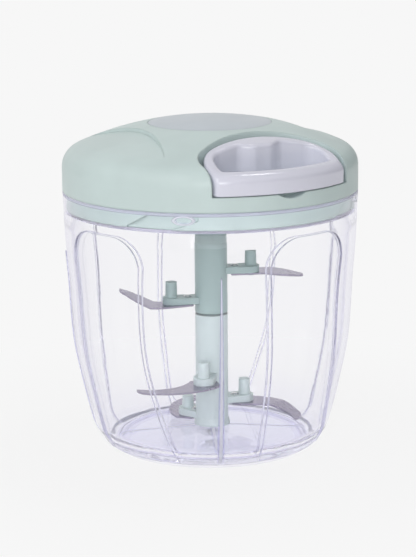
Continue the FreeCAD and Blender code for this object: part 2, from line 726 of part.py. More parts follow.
lower_hub = turned("lower_hub", [
    ("boss_radius + 0.5", "hub_bottom"),
    ("hub_radius + hub_flare", "hub_bottom"),
    ("hub_radius + hub_flare", "hub_bottom + 1"),
    ("hub_radius", "hub_bottom + 3.3"),
    ("hub_radius", "hub_seam - 0.5"),
    ("hub_radius - 0.5", "hub_seam"),
    ("0", "hub_seam"),
    ("0", "pin_top + 18"),
    ("pin_radius + 0.6", "pin_top + 18"),
    ("pin_radius + 0.6", "pin_top + 0.8"),
    ("bush_radius", "pin_top + 0.8"),
    ("bush_radius", bush_low),
    ("boss_radius + 0.5", bush_low),
])
square = "joint_square / 2"
spigot = new_sketch(lower_hub, "XY_Plane", [[
    ("-" + square, "-" + square),
    (square, "-" + square),
    (square, square),
    ("-" + square, square),
]], lift="hub_seam")
pad(lower_hub, spigot, "joint_length")
add_arm(lower_hub, "low_reach", "low_post", "low_a_angle", "low_a_height", "post_height")
add_arm(lower_hub, "low_reach", "low_post", "low_b_angle", "low_b_height", "post_height")
add_arm(lower_hub, "low_reach", "low_post", "low_c_angle", "low_c_height", "post_low")
node(lower_hub)


def hexagon(flats):
    """A hexagon's corners, one flat facing -Y."""
    corner = "(%s) / 2 / cos(30)" % flats
    return [
        ("(%s) * cos(%d)" % (corner, a), "(%s) * sin(%d)" % (corner, a))
        for a in (0, 60, 120, 180, 240, 300)
    ]


upper_hub = turned("upper_hub", [
    ("0", "hub_seam"),
    ("hub_radius - 0.9", "hub_seam"),
    ("via", "hub_radius - 0.25", "hub_seam + 0.25"),
    ("hub_radius", "hub_seam + 0.9"),
    ("hub_radius", "hub_collar"),
    ("neck_radius", "hub_collar + 0.3"),
    ("neck_radius", "hex_start"),
    ("0", "hex_start"),
])
drive_hex = new_sketch(upper_hub, "XY_Plane", [hexagon("hex_flats")], lift="hex_start")
pad(upper_hub, drive_hex, "hex_end - hex_start")
socket = "(joint_square / 2 + 0.1)"
hub_socket = new_sketch(upper_hub, "XY_Plane", [[
    ("-" + socket, "-" + socket),
    (socket, "-" + socket),
    (socket, socket),
    ("-" + socket, socket),
]], lift="hub_seam - 1")
pocket(upper_hub, hub_socket, "joint_length + 1.4", reverse=True)
add_arm(upper_hub, "high_reach", "high_post", "high_a_angle", "high_a_height", "post_height")
add_arm(upper_hub, "high_reach", "high_post", "high_b_angle", "high_b_height", "post_height")
node(upper_hub)

node(turned("pivot_bush", [
    ("pin_radius + run_gap", bush_low),
    ("bush_radius", bush_low),
    ("bush_radius", "pin_top + 0.5"),
    ("pin_radius + run_gap", "pin_top + 0.5"),
]))

BLADE_ROOT = [
    ("-0.88 * arm_half", "-(hub_radius + 1.4)"),
    ("0.93 * arm_half", "-(hub_radius + 1.4)"),
]
LOW_BLADE = BLADE_ROOT + [
    ("0.188 * low_span", "-0.358 * low_span"),
    ("via", "-0.063 * low_span", "-0.71 * low_span"),
    ("-0.413 * low_span", "-0.836 * low_span"),
    ("via", "-0.57 * low_span", "-0.821 * low_span"),
    ("-0.638 * low_span", "-0.727 * low_span"),
    ("via", "-0.384 * low_span", "-0.662 * low_span"),
    ("-0.172 * low_span", "-0.28 * low_span"),
]
HIGH_BLADE = BLADE_ROOT + [
    ("0.175 * high_span", "-0.449 * high_span"),
    ("via", "0.17 * high_span", "-0.719 * high_span"),
    ("-0.023 * high_span", "-0.942 * high_span"),
    ("via", "-0.106 * high_span", "-0.995 * high_span"),
    ("-0.175 * high_span", "-0.977 * high_span"),
    ("via", "-0.175 * high_span", "-0.728 * high_span"),
    ("-0.106 * high_span", "-0.565 * high_span"),
]


def add_blade(label, outline, post, angle, height, sweep, start, bend):
    """A sheet steel blade: its outline cut from a strip that is bent past its start."""
    plan = new_body(label + "_plan")
    holes = [
        ("0", "-rivet_place", "rivet_radius"),
        ("0", "-%s" % post, "stake_radius + 0.1"),
    ]
    sk = new_sketch(plan, "XY_Plane", [outline], rings=holes, lift="-15")
    pad(plan, sk, "30")
    stand(plan, z="%s - blade_thick" % height, angle=angle)
    strip = new_body(label + "_strip")
    far = "(high_span - 9)"
    side = new_sketch(strip, "YZ_Plane", [[
        ("12", "0"),
        ("12", "blade_thick"),
        ("-(%s - blade_thick * tan(%s / 2))" % (start, bend), "blade_thick"),
        ("-(%s + %s * cos(%s) - blade_thick * sin(%s))" % (start, far, bend, bend),
         "%s * sin(%s) + blade_thick * cos(%s)" % (far, bend, bend)),
        ("-(%s + %s * cos(%s))" % (start, far, bend), "%s * sin(%s)" % (far, bend)),
        ("-%s" % start, "0"),
    ]], lift="-50")
    pad(strip, side, "100")
    stand(strip, z="%s - blade_thick" % height, angle="%s - %s" % (angle, sweep))
    node(common(label, plan, strip))


def add_flat_blade(label, outline, post, angle, height):
    """A flat sheet steel blade."""
    body = new_body(label)
    holes = [
        ("0", "-rivet_place", "rivet_radius"),
        ("0", "-%s" % post, "stake_radius + 0.1"),
    ]
    sk = new_sketch(body, "XY_Plane", [outline], rings=holes)
    pad(body, sk, "blade_thick")
    stand(body, z="%s - blade_thick" % height, angle=angle)
    node(body)


add_flat_blade("blade_lower_a", LOW_BLADE, "low_post", "low_a_angle", "low_a_height")
add_blade("blade_lower_b", LOW_BLADE, "low_post", "low_b_angle", "low_b_height",
          "62", "low_bend_at", "bend_low_b")
add_flat_blade("blade_lower_c", LOW_BLADE, "low_post", "low_c_angle", "low_c_height")
add_blade("blade_upper_a", HIGH_BLADE, "high_post", "high_a_angle", "high_a_height",
          "12", "high_bend_at", "bend_high_a")
add_blade("blade_upper_b", HIGH_BLADE, "high_post", "high_b_angle", "high_b_height",
          "12", "high_bend_at", "bend_high_b")

RIVETS = [
    ("low_a", "low_a_angle", "low_a_height"),
    ("low_b", "low_b_angle", "low_b_height"),
    ("low_c", "low_c_angle", "low_c_height"),
    ("high_a", "high_a_angle", "high_a_height"),
    ("high_b", "high_b_angle", "high_b_height"),
]
rivets = []
for tag, angle, height in RIVETS:
    x = "rivet_place * sin(%s)" % angle
    y = "-rivet_place * cos(%s)" % angle
    under = "%s - blade_thick" % height
    over = "%s + arm_thick" % height
    shank = cylinder("rivet_shank_" + tag, "rivet_radius", "blade_thick + arm_thick", under, x, y)
    foot = frustum("rivet_foot_" + tag, "rivet_head - 0.8", "rivet_head", "rivet_rise",
                   under + " - rivet_rise", x, y)
    dome = frustum("rivet_dome_" + tag, "rivet_head", "rivet_head - 0.8", "rivet_rise",
                   over, x, y)
    rivets.append(fuse("rivet_" + tag, [shank, foot, dome]))
rivet_set = doc.addObject("Part::Compound", "blade_rivets")
rivet_set.Links = rivets
node(rivet_set)

# ---------------------------------------------------------------- lid

node(turned("seal_ring", [
    ("ledge_radius + 0.2", "ledge_height"),
    ("ledge_radius + 0.2 + seal_wide", "ledge_height"),
    ("ledge_radius + 0.2 + seal_wide", "ledge_height + seal_high"),
    ("ledge_radius + 0.2", "ledge_height + seal_high"),
]))

ring_out = "(lid_radius - collar_wall - ring_gap)"
cover_in = "(lid_radius - cover_wall)"
cover_low = "(rim_height + lid_gap)"
bearing_out = "(bearing_radius + bearing_wall)"
lid_ring = turned("lid_ring", [
    ("bearing_radius", "plate_bottom - bearing_drop"),
    (bearing_out, "plate_bottom - bearing_drop"),
    (bearing_out, "plate_bottom"),
    ("%s - ring_thick" % ring_out, "plate_bottom"),
    ("%s - ring_thick" % ring_out, "ring_bottom"),
    (ring_out, "ring_bottom"),
    (ring_out, cover_low),
    ("%s - 0.2" % cover_in, cover_low),
    ("%s - 0.2" % cover_in, "%s + ring_lip" % cover_low),
    ("%s - 2.2" % cover_in, "%s + ring_lip" % cover_low),
    ("%s - 2.2" % cover_in, "plate_top"),
    (bearing_out, "plate_top"),
    (bearing_out, "bearing_top"),
    ("bearing_radius", "bearing_top"),
])
# the lug's way through the ring: up the ramp from the open edge, then along to the stop
half_turn = "(lug_length / 2 + 2.2)"
clear = "0.35"
ramp = "(lug_height - (lug_width / 2 + %s) / cos(20) - %s / track_rise)" % (clear, lug_half)
tracks = new_body("tracks")
track_sketch = new_sketch(tracks, "XZ_Plane", [[
    ("-25.2", "ring_bottom - 2"),
    ("(ring_bottom - 2 - %s) * track_rise" % ramp, "ring_bottom - 2"),
    (half_turn, "%s + %s / track_rise" % (ramp, half_turn)),
    (half_turn, "track_top"),
    ("-13.6", "track_top"),
    ("-25.2", "ring_bottom + 0.6"),
]], lift="50")
around(tracks, pad(tracks, track_sketch, "30"), "4")
stand(tracks, angle="lug_angle")
track_core = cylinder("track_core", "%s - track_depth" % ring_out, "60", "90")
track_cut = cut("track_cut", tracks, track_core)


def round_the_lid(label, radius, height, z):
    """Four cylinders on the cover screws' circle, two each side."""
    made = []
    turns = ("screw_angle", "180 - screw_angle", "180 + screw_angle", "-screw_angle")
    for index, turn in enumerate(turns):
        x = "screw_circle * sin(%s)" % turn
        y = "-screw_circle * cos(%s)" % turn
        made.append(cylinder("%s_%d" % (label, index), radius, height, z, x, y))
    return made


screw_holes = round_the_lid("plate_hole", "screw_radius + 0.15", "plate_thick + 4",
                            "plate_bottom - 2")
node(cut("lid_base", lid_ring, fuse("ring_cuts", [track_cut] + screw_holes)))

dome_mid = "(apex_height - dome_radius)"
corner_r = "(lid_radius - skirt_round)"
corner_z = "(%s + sqrt((dome_radius - skirt_round)^2 - %s^2))" % (dome_mid, corner_r)


def dome_z(r, drop):
    return "(%s + sqrt((dome_radius - (%s))^2 - (%s)^2))" % (dome_mid, drop, r)


def dome_edge(drop):
    """Skirt, rounded corner and dome down from the skirt to where the dome starts."""
    scale = "((dome_radius - %s) / (dome_radius - skirt_round))" % drop
    return [
        ("lid_radius - %s" % drop, corner_z),
        ("via", "%s + (skirt_round - %s) * cos(30)" % (corner_r, drop),
         "%s + (skirt_round - %s) * sin(30)" % (corner_z, drop)),
        ("%s * %s" % (scale, corner_r), "%s + %s * (%s - %s)" % (dome_mid, scale, corner_z,
                                                                dome_mid)),
    ]


disc_edge = "(disc_radius + disc_gap)"
cover_outside = turned("cover_outside", [
    ("0", cover_low),
    ("lid_radius", cover_low),
] + dome_edge("0") + [
    ("via", "lid_radius - 21", dome_z("lid_radius - 21", "0")),
    (disc_edge, dome_z(disc_edge, "0")),
    (disc_edge, dome_z(disc_edge, "disc_thick")),
    ("via", "0.5 * disc_radius", dome_z("0.5 * disc_radius", "disc_thick")),
    ("0", "apex_height - disc_thick"),
])
inner_edge = "(disc_radius + disc_gap + cover_wall)"
cover_inside = turned("cover_inside", [
    ("0", "%s - 5" % cover_low),
    ("lid_radius - cover_wall", "%s - 5" % cover_low),
] + dome_edge("cover_wall") + [
    ("via", "lid_radius - 21", dome_z("lid_radius - 21", "cover_wall")),
    (inner_edge, dome_z(inner_edge, "cover_wall")),
    (inner_edge, dome_z(inner_edge, "cover_wall + disc_thick")),
    ("via", "0.5 * disc_radius", dome_z("0.5 * disc_radius", "cover_wall + disc_thick")),
    ("0", "apex_height - disc_thick - cover_wall"),
])


def scoop_floor(label, drop):
    """What is left under a grip scoop: a shallower dome that meets the skirt's round."""
    return turned(label, [
        ("0", "90"),
        ("75", "90"),
        ("75", "%s - %s - 6" % (dome_z("scoop_end", "0"), drop)),
        ("scoop_end", "%s - %s" % (dome_z("scoop_end", "0"), drop)),
        ("via", "lid_radius - 20",
         "%s - %s - 0.72 * scoop_depth" % (dome_z("lid_radius - 20", "0"), drop)),
        ("scoop_start - 1.4",
         "%s - %s - scoop_depth" % (dome_z("scoop_start - 1.4", "0"), drop)),
        ("0", "%s - %s - scoop_depth" % (dome_z("scoop_start - 1.4", "0"), drop)),
    ])


def scoop_pair(label, radius):
    """The two round edges of the grip scoops, one each side."""
    far = "(scoop_start + scoop_radius)"
    made = []
    for tag, turn in (("left", "-scoop_angle"), ("right", "scoop_angle")):
        made.append(cylinder("%s_%s" % (label, tag), radius, "60", "100",
                             "%s * sin(%s)" % (far, turn), "-%s * cos(%s)" % (far, turn)))
    return fuse(label, made)


scoop_cut = cut("scoop_cut", scoop_pair("scoop_plan", "scoop_radius"),
                scoop_floor("scoop_outside", "0"))
scoop_back = cut("scoop_back", scoop_pair("scoop_inner_plan", "scoop_radius + 1.4"),
                 scoop_floor("scoop_inside", "cover_wall"))
cover_solid = cut("cover_solid", cover_outside, scoop_cut)
cover_room = cut("cover_room", cover_inside, scoop_back)


def fan(back, wide, edge, front):
    """The plan of the handle's recess: a fan that opens to the lid's edge."""
    right = [
        ("handle_half - 5.8 + 0.5 * (%s)" % wide, "-(%s + 6.8)" % back),
        ("via", "handle_half + 0.3 + %s" % wide, "-(%s + 11.8)" % back),
        ("%s + %s" % (edge, wide), "-(%s + 17.5)" % back),
        ("%s - 0.3 + %s" % (edge, wide), "-(%s + 24.5)" % back),
        ("%s - 0.3 + %s" % (edge, wide), front),
    ]
    left = []
    for item in reversed(right):
        if item[0] == "via":
            left.append(("via", "-(%s)" % item[1], item[2]))
        else:
            left.append(("-(%s)" % item[0], item[1]))
    return right + left + [("via", "0", "-(%s)" % back)]


fan_block = new_body("fan_block")
block_plan = new_sketch(
    fan_block, "XY_Plane",
    [fan("pocket_back - pocket_wall", "pocket_wall", "handle_half + side_gap", "-78")],
    lift="pocket_floor - pocket_thick",
)
pad(fan_block, block_plan, "34")
fan_pocket = new_body("fan_pocket")
pocket_plan = new_sketch(
    fan_pocket, "XY_Plane", [fan("pocket_back", "0", "handle_half + side_gap", "-80")],
    lift="pocket_floor",
)
pad(fan_pocket, pocket_plan, "34")

boss_low = "(cap_top + rest_gap + 0.1)"
axle_post = cylinder("axle_post", "axle_boss", "30", boss_low)
screw_posts = round_the_lid("screw_post", "screw_boss", "40", "plate_top")
cover_extras = common("cover_extras", fuse("cover_ribs", [fan_block, axle_post] + screw_posts),
                      cover_solid)
cover_full = fuse("cover_full", [cut("cover_shell", cover_solid, cover_room), cover_extras])
axle_bore = cylinder("axle_bore", "axle_seat", "axle_top - %s + 2" % boss_low,
                     "%s - 2" % boss_low)
pilot_holes = round_the_lid("pilot_hole", "screw_radius", "screw_length + 2",
                            "plate_top - 2")
thumb_notch = doc.addObject("Part::Cylinder", "thumb_notch")
bind(thumb_notch, "Radius", "notch_radius")
bind(thumb_notch, "Height", "12")
stand(thumb_notch, z="pocket_floor - notch_depth + notch_radius", y="-(lid_radius - 6)",
      angle="90", axis=Vector(1, 0, 0))
eyelet_bore = doc.addObject("Part::Cylinder", "eyelet_bore")
bind(eyelet_bore, "Radius", "eyelet_tube")
bind(eyelet_bore, "Height", "8")
stand(eyelet_bore, z="cord_z", y="-(pocket_back - 6)", angle="90", axis=Vector(1, 0, 0))
node(cut("lid_cover", cover_full,
         fuse("cover_cuts", [fan_pocket, thumb_notch, eyelet_bore, axle_bore] + pilot_holes)))

node(turned("top_disc", [
    ("0", "apex_height - disc_thick"),
    ("via", "0.5 * disc_radius", dome_z("0.5 * disc_radius", "disc_thick")),
    ("disc_radius", dome_z("disc_radius", "disc_thick")),
    ("disc_radius", "%s - 0.25" % dome_z("disc_radius", "0")),
    ("disc_radius - 0.3", dome_z("disc_radius - 0.3", "0")),
    ("via", "0.5 * disc_radius", dome_z("0.5 * disc_radius", "0")),
    ("0", "apex_height"),
]))

screws = []
for index, turn in enumerate(("screw_angle", "180 - screw_angle", "180 + screw_angle",
                              "-screw_angle")):
    x = "screw_circle * sin(%s)" % turn
    y = "-screw_circle * cos(%s)" % turn
    stem = cylinder("screw_stem_%d" % index, "screw_radius", "plate_thick + screw_length - 0.5",
                    "plate_bottom", x, y)
    head = frustum("screw_head_%d" % index, "screw_head - 0.7", "screw_head", "screw_high",
                   "plate_bottom - screw_high", x, y)
    screws.append(fuse("screw_%d" % index, [stem, head]))
screw_set = doc.addObject("Part::Compound", "cover_screws")
screw_set.Links = screws
node(screw_set)

# ---------------------------------------------------------------- drive

axle_low = "(cup_inside + rest_gap)"
clip_low = "(%s + 0.45)" % axle_low
hub_low = "(%s + clip_thick + rest_gap)" % clip_low
arbor_low = "(flange_top + rest_gap)"
node(turned("center_axle", [
    ("0", axle_low),
    ("axle_radius - 0.2", axle_low),
    ("axle_radius", "%s + 0.2" % axle_low),
    ("axle_radius", "%s - 0.05" % clip_low),
    ("axle_radius - 0.6", "%s - 0.05" % clip_low),
    ("axle_radius - 0.6", "%s + clip_thick + 0.05" % clip_low),
    ("axle_radius", "%s + clip_thick + 0.05" % clip_low),
    ("axle_radius", arbor_low),
    ("arbor_radius", arbor_low),
    ("arbor_radius", boss_low),
    ("axle_seat", boss_low),
    ("axle_seat", "axle_top"),
    ("0", "axle_top"),
]))
axle_clip = new_body("axle_clip")
clip_sketch = new_sketch(axle_clip, "XZ_Plane", [[
    ("axle_radius - 0.6", clip_low),
    ("clip_radius", clip_low),
    ("clip_radius", "%s + clip_thick" % clip_low),
    ("axle_radius - 0.6", "%s + clip_thick" % clip_low),
]])
revolve(axle_clip, clip_sketch, 290)
node(axle_clip)

eyelet = turned("cord_eyelet", [
    ("cord_hole", "-(pocket_wall + 0.3)"),
    ("eyelet_tube", "-(pocket_wall + 0.3)"),
    ("eyelet_tube", "0.15"),
    ("eyelet_flange", "0.15"),
    ("eyelet_flange", "0.5"),
    ("eyelet_flange - 0.6", "0.95"),
    ("cord_hole + 0.4", "0.95"),
    ("cord_hole", "0.55"),
])
stand(eyelet, z="cord_z", y="-pocket_back", angle="90", axis=Vector(1, 0, 0))
node(eyelet)

coupler = turned("drive_coupler", [
    ("0", "cup_bottom - coupler_length"),
    ("bearing_radius - run_gap", "cup_bottom - coupler_length"),
    ("bearing_radius - run_gap", "cup_bottom"),
    ("cup_radius", "cup_bottom"),
    ("cup_radius", "cup_inside + cup_depth"),
    ("cup_radius - cup_wall", "cup_inside + cup_depth"),
    ("cup_radius - cup_wall", "cup_inside"),
    ("0", "cup_inside"),
])
hex_socket = new_sketch(coupler, "XY_Plane", [hexagon("hex_flats + 2 * hex_gap")],
                        lift="cup_bottom - coupler_length - 1")
pocket(coupler, hex_socket, "hex_end + 0.4 - (cup_bottom - coupler_length - 1)",
       reverse=True)


def polar(radius, angle):
    return ("(%s) * cos(%s)" % (radius, angle), "(%s) * sin(%s)" % (radius, angle))


pitch = "360 / tooth_count"
tooth = new_sketch(coupler, "XY_Plane", [[
    polar("tooth_tip", "tooth_place"),
    polar("cup_radius - 0.5 * cup_wall", "tooth_place"),
    polar("cup_radius - 0.5 * cup_wall", "tooth_place + %s" % pitch),
    polar("cup_radius - cup_wall", "tooth_place + %s" % pitch),
]], lift="cup_inside")
around(coupler, pad(coupler, tooth, "cup_depth"), "tooth_count")
node(coupler)

spool = turned("cord_spool", [
    ("axle_radius + run_gap", hub_low),
    ("spool_hub", hub_low),
    ("spool_hub", "flange_bottom"),
    ("flange_radius", "flange_bottom"),
    ("flange_radius", "flange_top - 0.5"),
    ("drum_radius", "flange_top"),
    ("drum_radius", "groove_top"),
    ("flange_radius", "groove_top + 0.4"),
    ("flange_radius", "drum_top"),
    ("drum_radius - drum_wall", "drum_top"),
    ("drum_radius - drum_wall", "flange_top"),
    ("axle_radius + run_gap", "flange_top"),
])
pin_holes = new_sketch(
    spool, "XY_Plane",
    rings=[("pawl_place", "0", "pawl_pin"), ("-pawl_place", "0", "pawl_pin")],
    lift="flange_bottom - 1",
)
pocket(spool, pin_holes, "pawl_sunk + 1", reverse=True)
node(spool)

node(turned("spring_cap", [
    ("arbor_radius + 0.6", "drum_top"),
    ("cap_radius", "drum_top"),
    ("cap_radius", "drum_top + cap_thick - 0.4"),
    ("cap_radius - 0.4", "drum_top + cap_thick"),
    ("arbor_radius + 0.6", "drum_top + cap_thick"),
]))

lobe = "(groove_high - 1.2) / 2"
node(turned("cord_winding", [
    ("drum_radius", "flange_top + 0.6"),
    ("drum_radius + cord_radius", "flange_top + 0.6"),
    ("via", "drum_radius + 2 * cord_radius", "flange_top + 0.6 + %s / 2" % lobe),
    ("drum_radius + cord_radius", "flange_top + 0.6 + %s" % lobe),
    ("via", "drum_radius + 2 * cord_radius", "flange_top + 0.6 + 1.5 * %s" % lobe),
    ("drum_radius + cord_radius", "groove_top - 0.6"),
    ("drum_radius", "groove_top - 0.6"),
]))

pawl_low = "(flange_bottom - rest_gap - pawl_high)"
for label, side, turn in (("pawl_a", "pawl_place", "pawl_swing"),
                          ("pawl_b", "-pawl_place", "pawl_swing + 180")):
    pawl = new_body(label)
    outline = new_sketch(pawl, "XY_Plane", [[
        ("pawl_end", "0"),
        ("pawl_end", "8.75"),
        ("pawl_end - 1.43", "7.63"),
        ("-(pawl_end - 0.1)", "0.66"),
        ("via", "0", "-pawl_end"),
    ]], rings=[("0", "0", "pawl_pin + run_gap")])
    pad(pawl, outline, "pawl_high")
    stand(pawl, z=pawl_low, x=side, angle=turn)
    node(pawl)

pins = []
for tag, side in (("a", "pawl_place"), ("b", "-pawl_place")):
    stem = cylinder("pawl_stem_" + tag, "pawl_pin", "pawl_high + rest_gap + pawl_sunk + 0.3",
                    "%s - 0.3" % pawl_low, side)
    head = cylinder("pawl_head_" + tag, "pawl_pin + 0.9", "0.5", "%s - 0.8" % pawl_low, side)
    pins.append(fuse("pawl_pin_" + tag, [stem, head]))
pin_set = doc.addObject("Part::Compound", "pawl_pins")
pin_set.Links = pins
node(pin_set)


def spiral_strip():
    """The recoil spring: a strip wound from the arbor out to the drum's wall."""
    inner = num("arbor_radius + spring_gap")
    outer = num("drum_radius - drum_wall - 0.35")
    turns = num("spring_turns")
    half = num("spring_strip") / 2
    low = num("flange_top + spring_gap")
    high = num("drum_top - spring_gap")
    sides = []
    for offset in (-half, half):
        points = []
        steps = int(turns * 16)
        for i in range(steps + 1):
            a = 2 * math.pi * turns * i / steps
            r = inner + (outer - inner) * i / steps + offset
            points.append(Vector(r * math.cos(a), r * math.sin(a), low))
        curve = Part.BSplineCurve()
        curve.interpolate(points)
        sides.append((curve.toShape(), points))
    start = Part.makeLine(sides[0][1][0], sides[1][1][0])
    end = Part.makeLine(sides[0][1][-1], sides[1][1][-1])
    wire = Part.Wire(Part.__sortEdges__([sides[0][0], start, sides[1][0], end]))
    return Part.Face(wire).extrude(Vector(0, 0, high - low))


recoil_spring = doc.addObject("Part::Feature", "recoil_spring")
recoil_spring.Shape = spiral_strip()
node(recoil_spring)

# ---------------------------------------------------------------- handle

front = "(lid_radius - handle_front)"
inner_half = "(handle_half - handle_side)"
front_corner = "sqrt(%s^2 - %s^2)" % (front, inner_half)
handle_plan = new_body("handle_plan")
handle_sketch = new_sketch(handle_plan, "XY_Plane", [
    [
        ("-handle_half", "-74"),
        ("-handle_half", "-(handle_back + 17)"),
        ("via", "-(handle_half - 3.4)", "-(handle_back + 8.2)"),
        ("-(handle_half - 10.4)", "-(handle_back + 3.3)"),
        ("via", "0", "-handle_back"),
        ("handle_half - 10.4", "-(handle_back + 3.3)"),
        ("via", "handle_half - 3.4", "-(handle_back + 8.2)"),
        ("handle_half", "-(handle_back + 17)"),
        ("handle_half", "-74"),
    ],
    [
        ("-%s" % inner_half, "-%s" % front_corner),
        ("-%s" % inner_half, "-(%s - 2.6)" % front_corner),
        ("via", "-(%s - 1.9)" % inner_half, "-(handle_back + handle_wall + 5.9)"),
        ("-(%s - 7.5)" % inner_half, "-(handle_back + handle_wall + 3.2)"),
        ("-(pad_half + 2)", "-(handle_back + handle_wall + 0.2)", "1.6"),
        ("-pad_half", "-(handle_back + handle_wall + pad_thick)", "1.6"),
        ("pad_half", "-(handle_back + handle_wall + pad_thick)", "1.6"),
        ("pad_half + 2", "-(handle_back + handle_wall + 0.2)", "1.6"),
        ("%s - 7.5" % inner_half, "-(handle_back + handle_wall + 3.2)"),
        ("via", "%s - 1.9" % inner_half, "-(handle_back + handle_wall + 5.9)"),
        (inner_half, "-(%s - 2.6)" % front_corner),
        (inner_half, "-%s" % front_corner),
        ("via", "0", "-%s" % front),
    ],
], lift="pocket_floor + rest_gap")
pad(handle_plan, handle_sketch, "34")
handle_corner = "(lid_radius - handle_round)"
handle_dome = "(dome_radius - handle_drop)"
handle_mid = "(%s + sqrt((%s - handle_round)^2 - %s^2))" % (dome_mid, handle_dome,
                                                           handle_corner)
handle_scale = "(%s / (%s - handle_round))" % (handle_dome, handle_dome)
handle_top = turned("handle_top", [
    ("0", "rim_height"),
    ("lid_radius", "rim_height"),
    ("lid_radius", handle_mid),
    ("via", "%s + handle_round * cos(30)" % handle_corner,
     "%s + handle_round * sin(30)" % handle_mid),
    ("%s * %s" % (handle_scale, handle_corner),
     "%s + %s * (%s - %s)" % (dome_mid, handle_scale, handle_mid, dome_mid)),
    ("via", "lid_radius - 21", dome_z("lid_radius - 21", "handle_drop")),
    ("handle_back - 13.3", dome_z("handle_back - 13.3", "handle_drop")),
    ("0", dome_z("handle_back - 13.3", "handle_drop")),
])
handle_bore = doc.addObject("Part::Cylinder", "handle_bore")
bind(handle_bore, "Radius", "cord_hole")
bind(handle_bore, "Height", "24")
stand(handle_bore, z="cord_z", y="-(handle_back - 4)", angle="90", axis=Vector(1, 0, 0))
bead_bore = doc.addObject("Part::Cylinder", "bead_bore")
bind(bead_bore, "Radius", "bead_radius + 0.2")
bind(bead_bore, "Height", "8")
stand(bead_bore, z="cord_z", y="-cord_seat", angle="90", axis=Vector(1, 0, 0))
handle_solid = common("handle_solid", handle_plan, handle_top)
node(cut("pull_handle", handle_solid, fuse("handle_holes", [handle_bore, bead_bore])))

bead = turned("cord_bead", [
    ("0", "0"),
    ("bead_radius - 0.6", "0"),
    ("bead_radius", "0.6"),
    ("bead_radius", "bead_length - 0.8"),
    ("bead_radius - 0.8", "bead_length"),
    ("0", "bead_length"),
])
stand(bead, z="cord_z", y="-cord_seat", angle="90", axis=Vector(1, 0, 0))
node(bead)


def cord_tube():
    """The cord from the spool, round the eyelet's mouth and out to the handle."""
    wound = num("drum_radius + cord_radius")
    corner = num("cord_corner")
    z = num("cord_z")
    lean = math.acos(wound / corner)
    leave = Vector(-wound * math.sin(lean), -wound * math.cos(lean), z)
    turn_point = Vector(0, -corner, z)
    along = (turn_point - leave).normalize()
    out = Vector(0, -1, 0)
    turn = along.getAngle(out)
    cut_back = num("cord_bend") * math.tan(turn / 2)
    bend_in = turn_point - along * cut_back
    bend_out = turn_point + out * cut_back
    inward = (out - along).normalize()
    centre = turn_point + inward * (num("cord_bend") / math.cos(turn / 2))
    middle = centre - inward * num("cord_bend")
    start = bend_in - along * 0.8
    path = Part.Wire([
        Part.makeLine(start, bend_in),
        Part.Arc(bend_in, middle, bend_out).toShape(),
        Part.makeLine(bend_out, Vector(0, -num("cord_seat"), z)),
    ])
    profile = Part.Wire([Part.makeCircle(num("cord_radius"), start, along)])
    return path.makePipeShell([profile], True, False)


pull_cord = doc.addObject("Part::Feature", "pull_cord")
pull_cord.Shape = cord_tube()
node(pull_cord)

# ---------------------------------------------------------------- check and write

doc.recompute()
problems = []
for obj in doc.Objects:
    if "Invalid" in obj.State or "Error" in obj.State:
        problems.append("%s is %s" % (obj.Label, obj.State))
for obj in NODES:
    shape = obj.Shape
    if shape.isNull() or not shape.isValid() or not shape.Solids:
        problems.append("%s has no valid solid" % obj.Label)
if problems:
    raise RuntimeError("; ".join(problems))

os.makedirs("parts", exist_ok=True)
for obj in NODES:
    obj.Shape.exportStep("parts/%s.step" % obj.Label)
    box = obj.Shape.BoundBox
    print("%-16s %d solid(s) %9.1f mm3  x %.1f..%.1f  y %.1f..%.1f  z %.1f..%.1f" % (
        obj.Label, len(obj.Shape.Solids), obj.Shape.Volume,
        box.XMin, box.XMax, box.YMin, box.YMax, box.ZMin, box.ZMax))
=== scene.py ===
import math

import bmesh
import bpy
import numpy as np
from mathutils import Matrix, Vector


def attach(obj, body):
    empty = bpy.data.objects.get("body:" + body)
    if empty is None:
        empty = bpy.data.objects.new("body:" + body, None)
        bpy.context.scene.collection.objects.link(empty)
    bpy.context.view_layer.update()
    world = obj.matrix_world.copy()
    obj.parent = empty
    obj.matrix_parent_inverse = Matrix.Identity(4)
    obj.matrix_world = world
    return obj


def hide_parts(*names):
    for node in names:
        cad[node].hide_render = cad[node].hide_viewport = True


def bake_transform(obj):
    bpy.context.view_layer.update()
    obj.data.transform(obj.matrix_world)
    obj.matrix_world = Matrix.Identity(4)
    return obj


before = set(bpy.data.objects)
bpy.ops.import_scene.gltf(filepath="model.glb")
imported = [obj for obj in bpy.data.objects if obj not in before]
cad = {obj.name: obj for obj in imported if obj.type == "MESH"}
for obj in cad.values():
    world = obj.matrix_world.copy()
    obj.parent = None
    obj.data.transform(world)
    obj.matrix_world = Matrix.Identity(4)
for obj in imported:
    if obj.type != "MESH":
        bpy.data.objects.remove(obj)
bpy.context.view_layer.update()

MM = 0.001

# Sizes in mm. The axis is x 0, y 0, the table is z 0 and the handle is towards -y.
LID_BALL_RADIUS = 148.0
LID_BALL_MIDDLE = -0.9
DISC_RADIUS = 26.9
DISC_GAP_FILL = 0.15
DISC_ROUND = 0.3
DISC_THICKNESS = 1.6
HANDLE_UNDERSIDE = 122.5
HANDLE_UNDER_ROUND = 0.5
HANDLE_SINK = 1.0
FRONT_BAR_SINK = 1.2
CORD_Z = 127.5
CORD_RADIUS = 1.08
CORD_GUIDE_END = -31.9
CORD_BEAD_SEAT = -39.5
WALL_SWELL = 2.6
CORNER_DROP = 2.6
HUB_SEAM = 59.5
CREASE_TOP = 88.6
LUG_Z, LUG_HALF_WIDTH, LUG_HALF_HEIGHT = 112.6, 4.4, 1.8

# directions round the axis, in degrees
CREASE_ANGLE = -28.0
LUG_ANGLE = -42.0


# ---------------------------------------------------------------- materials

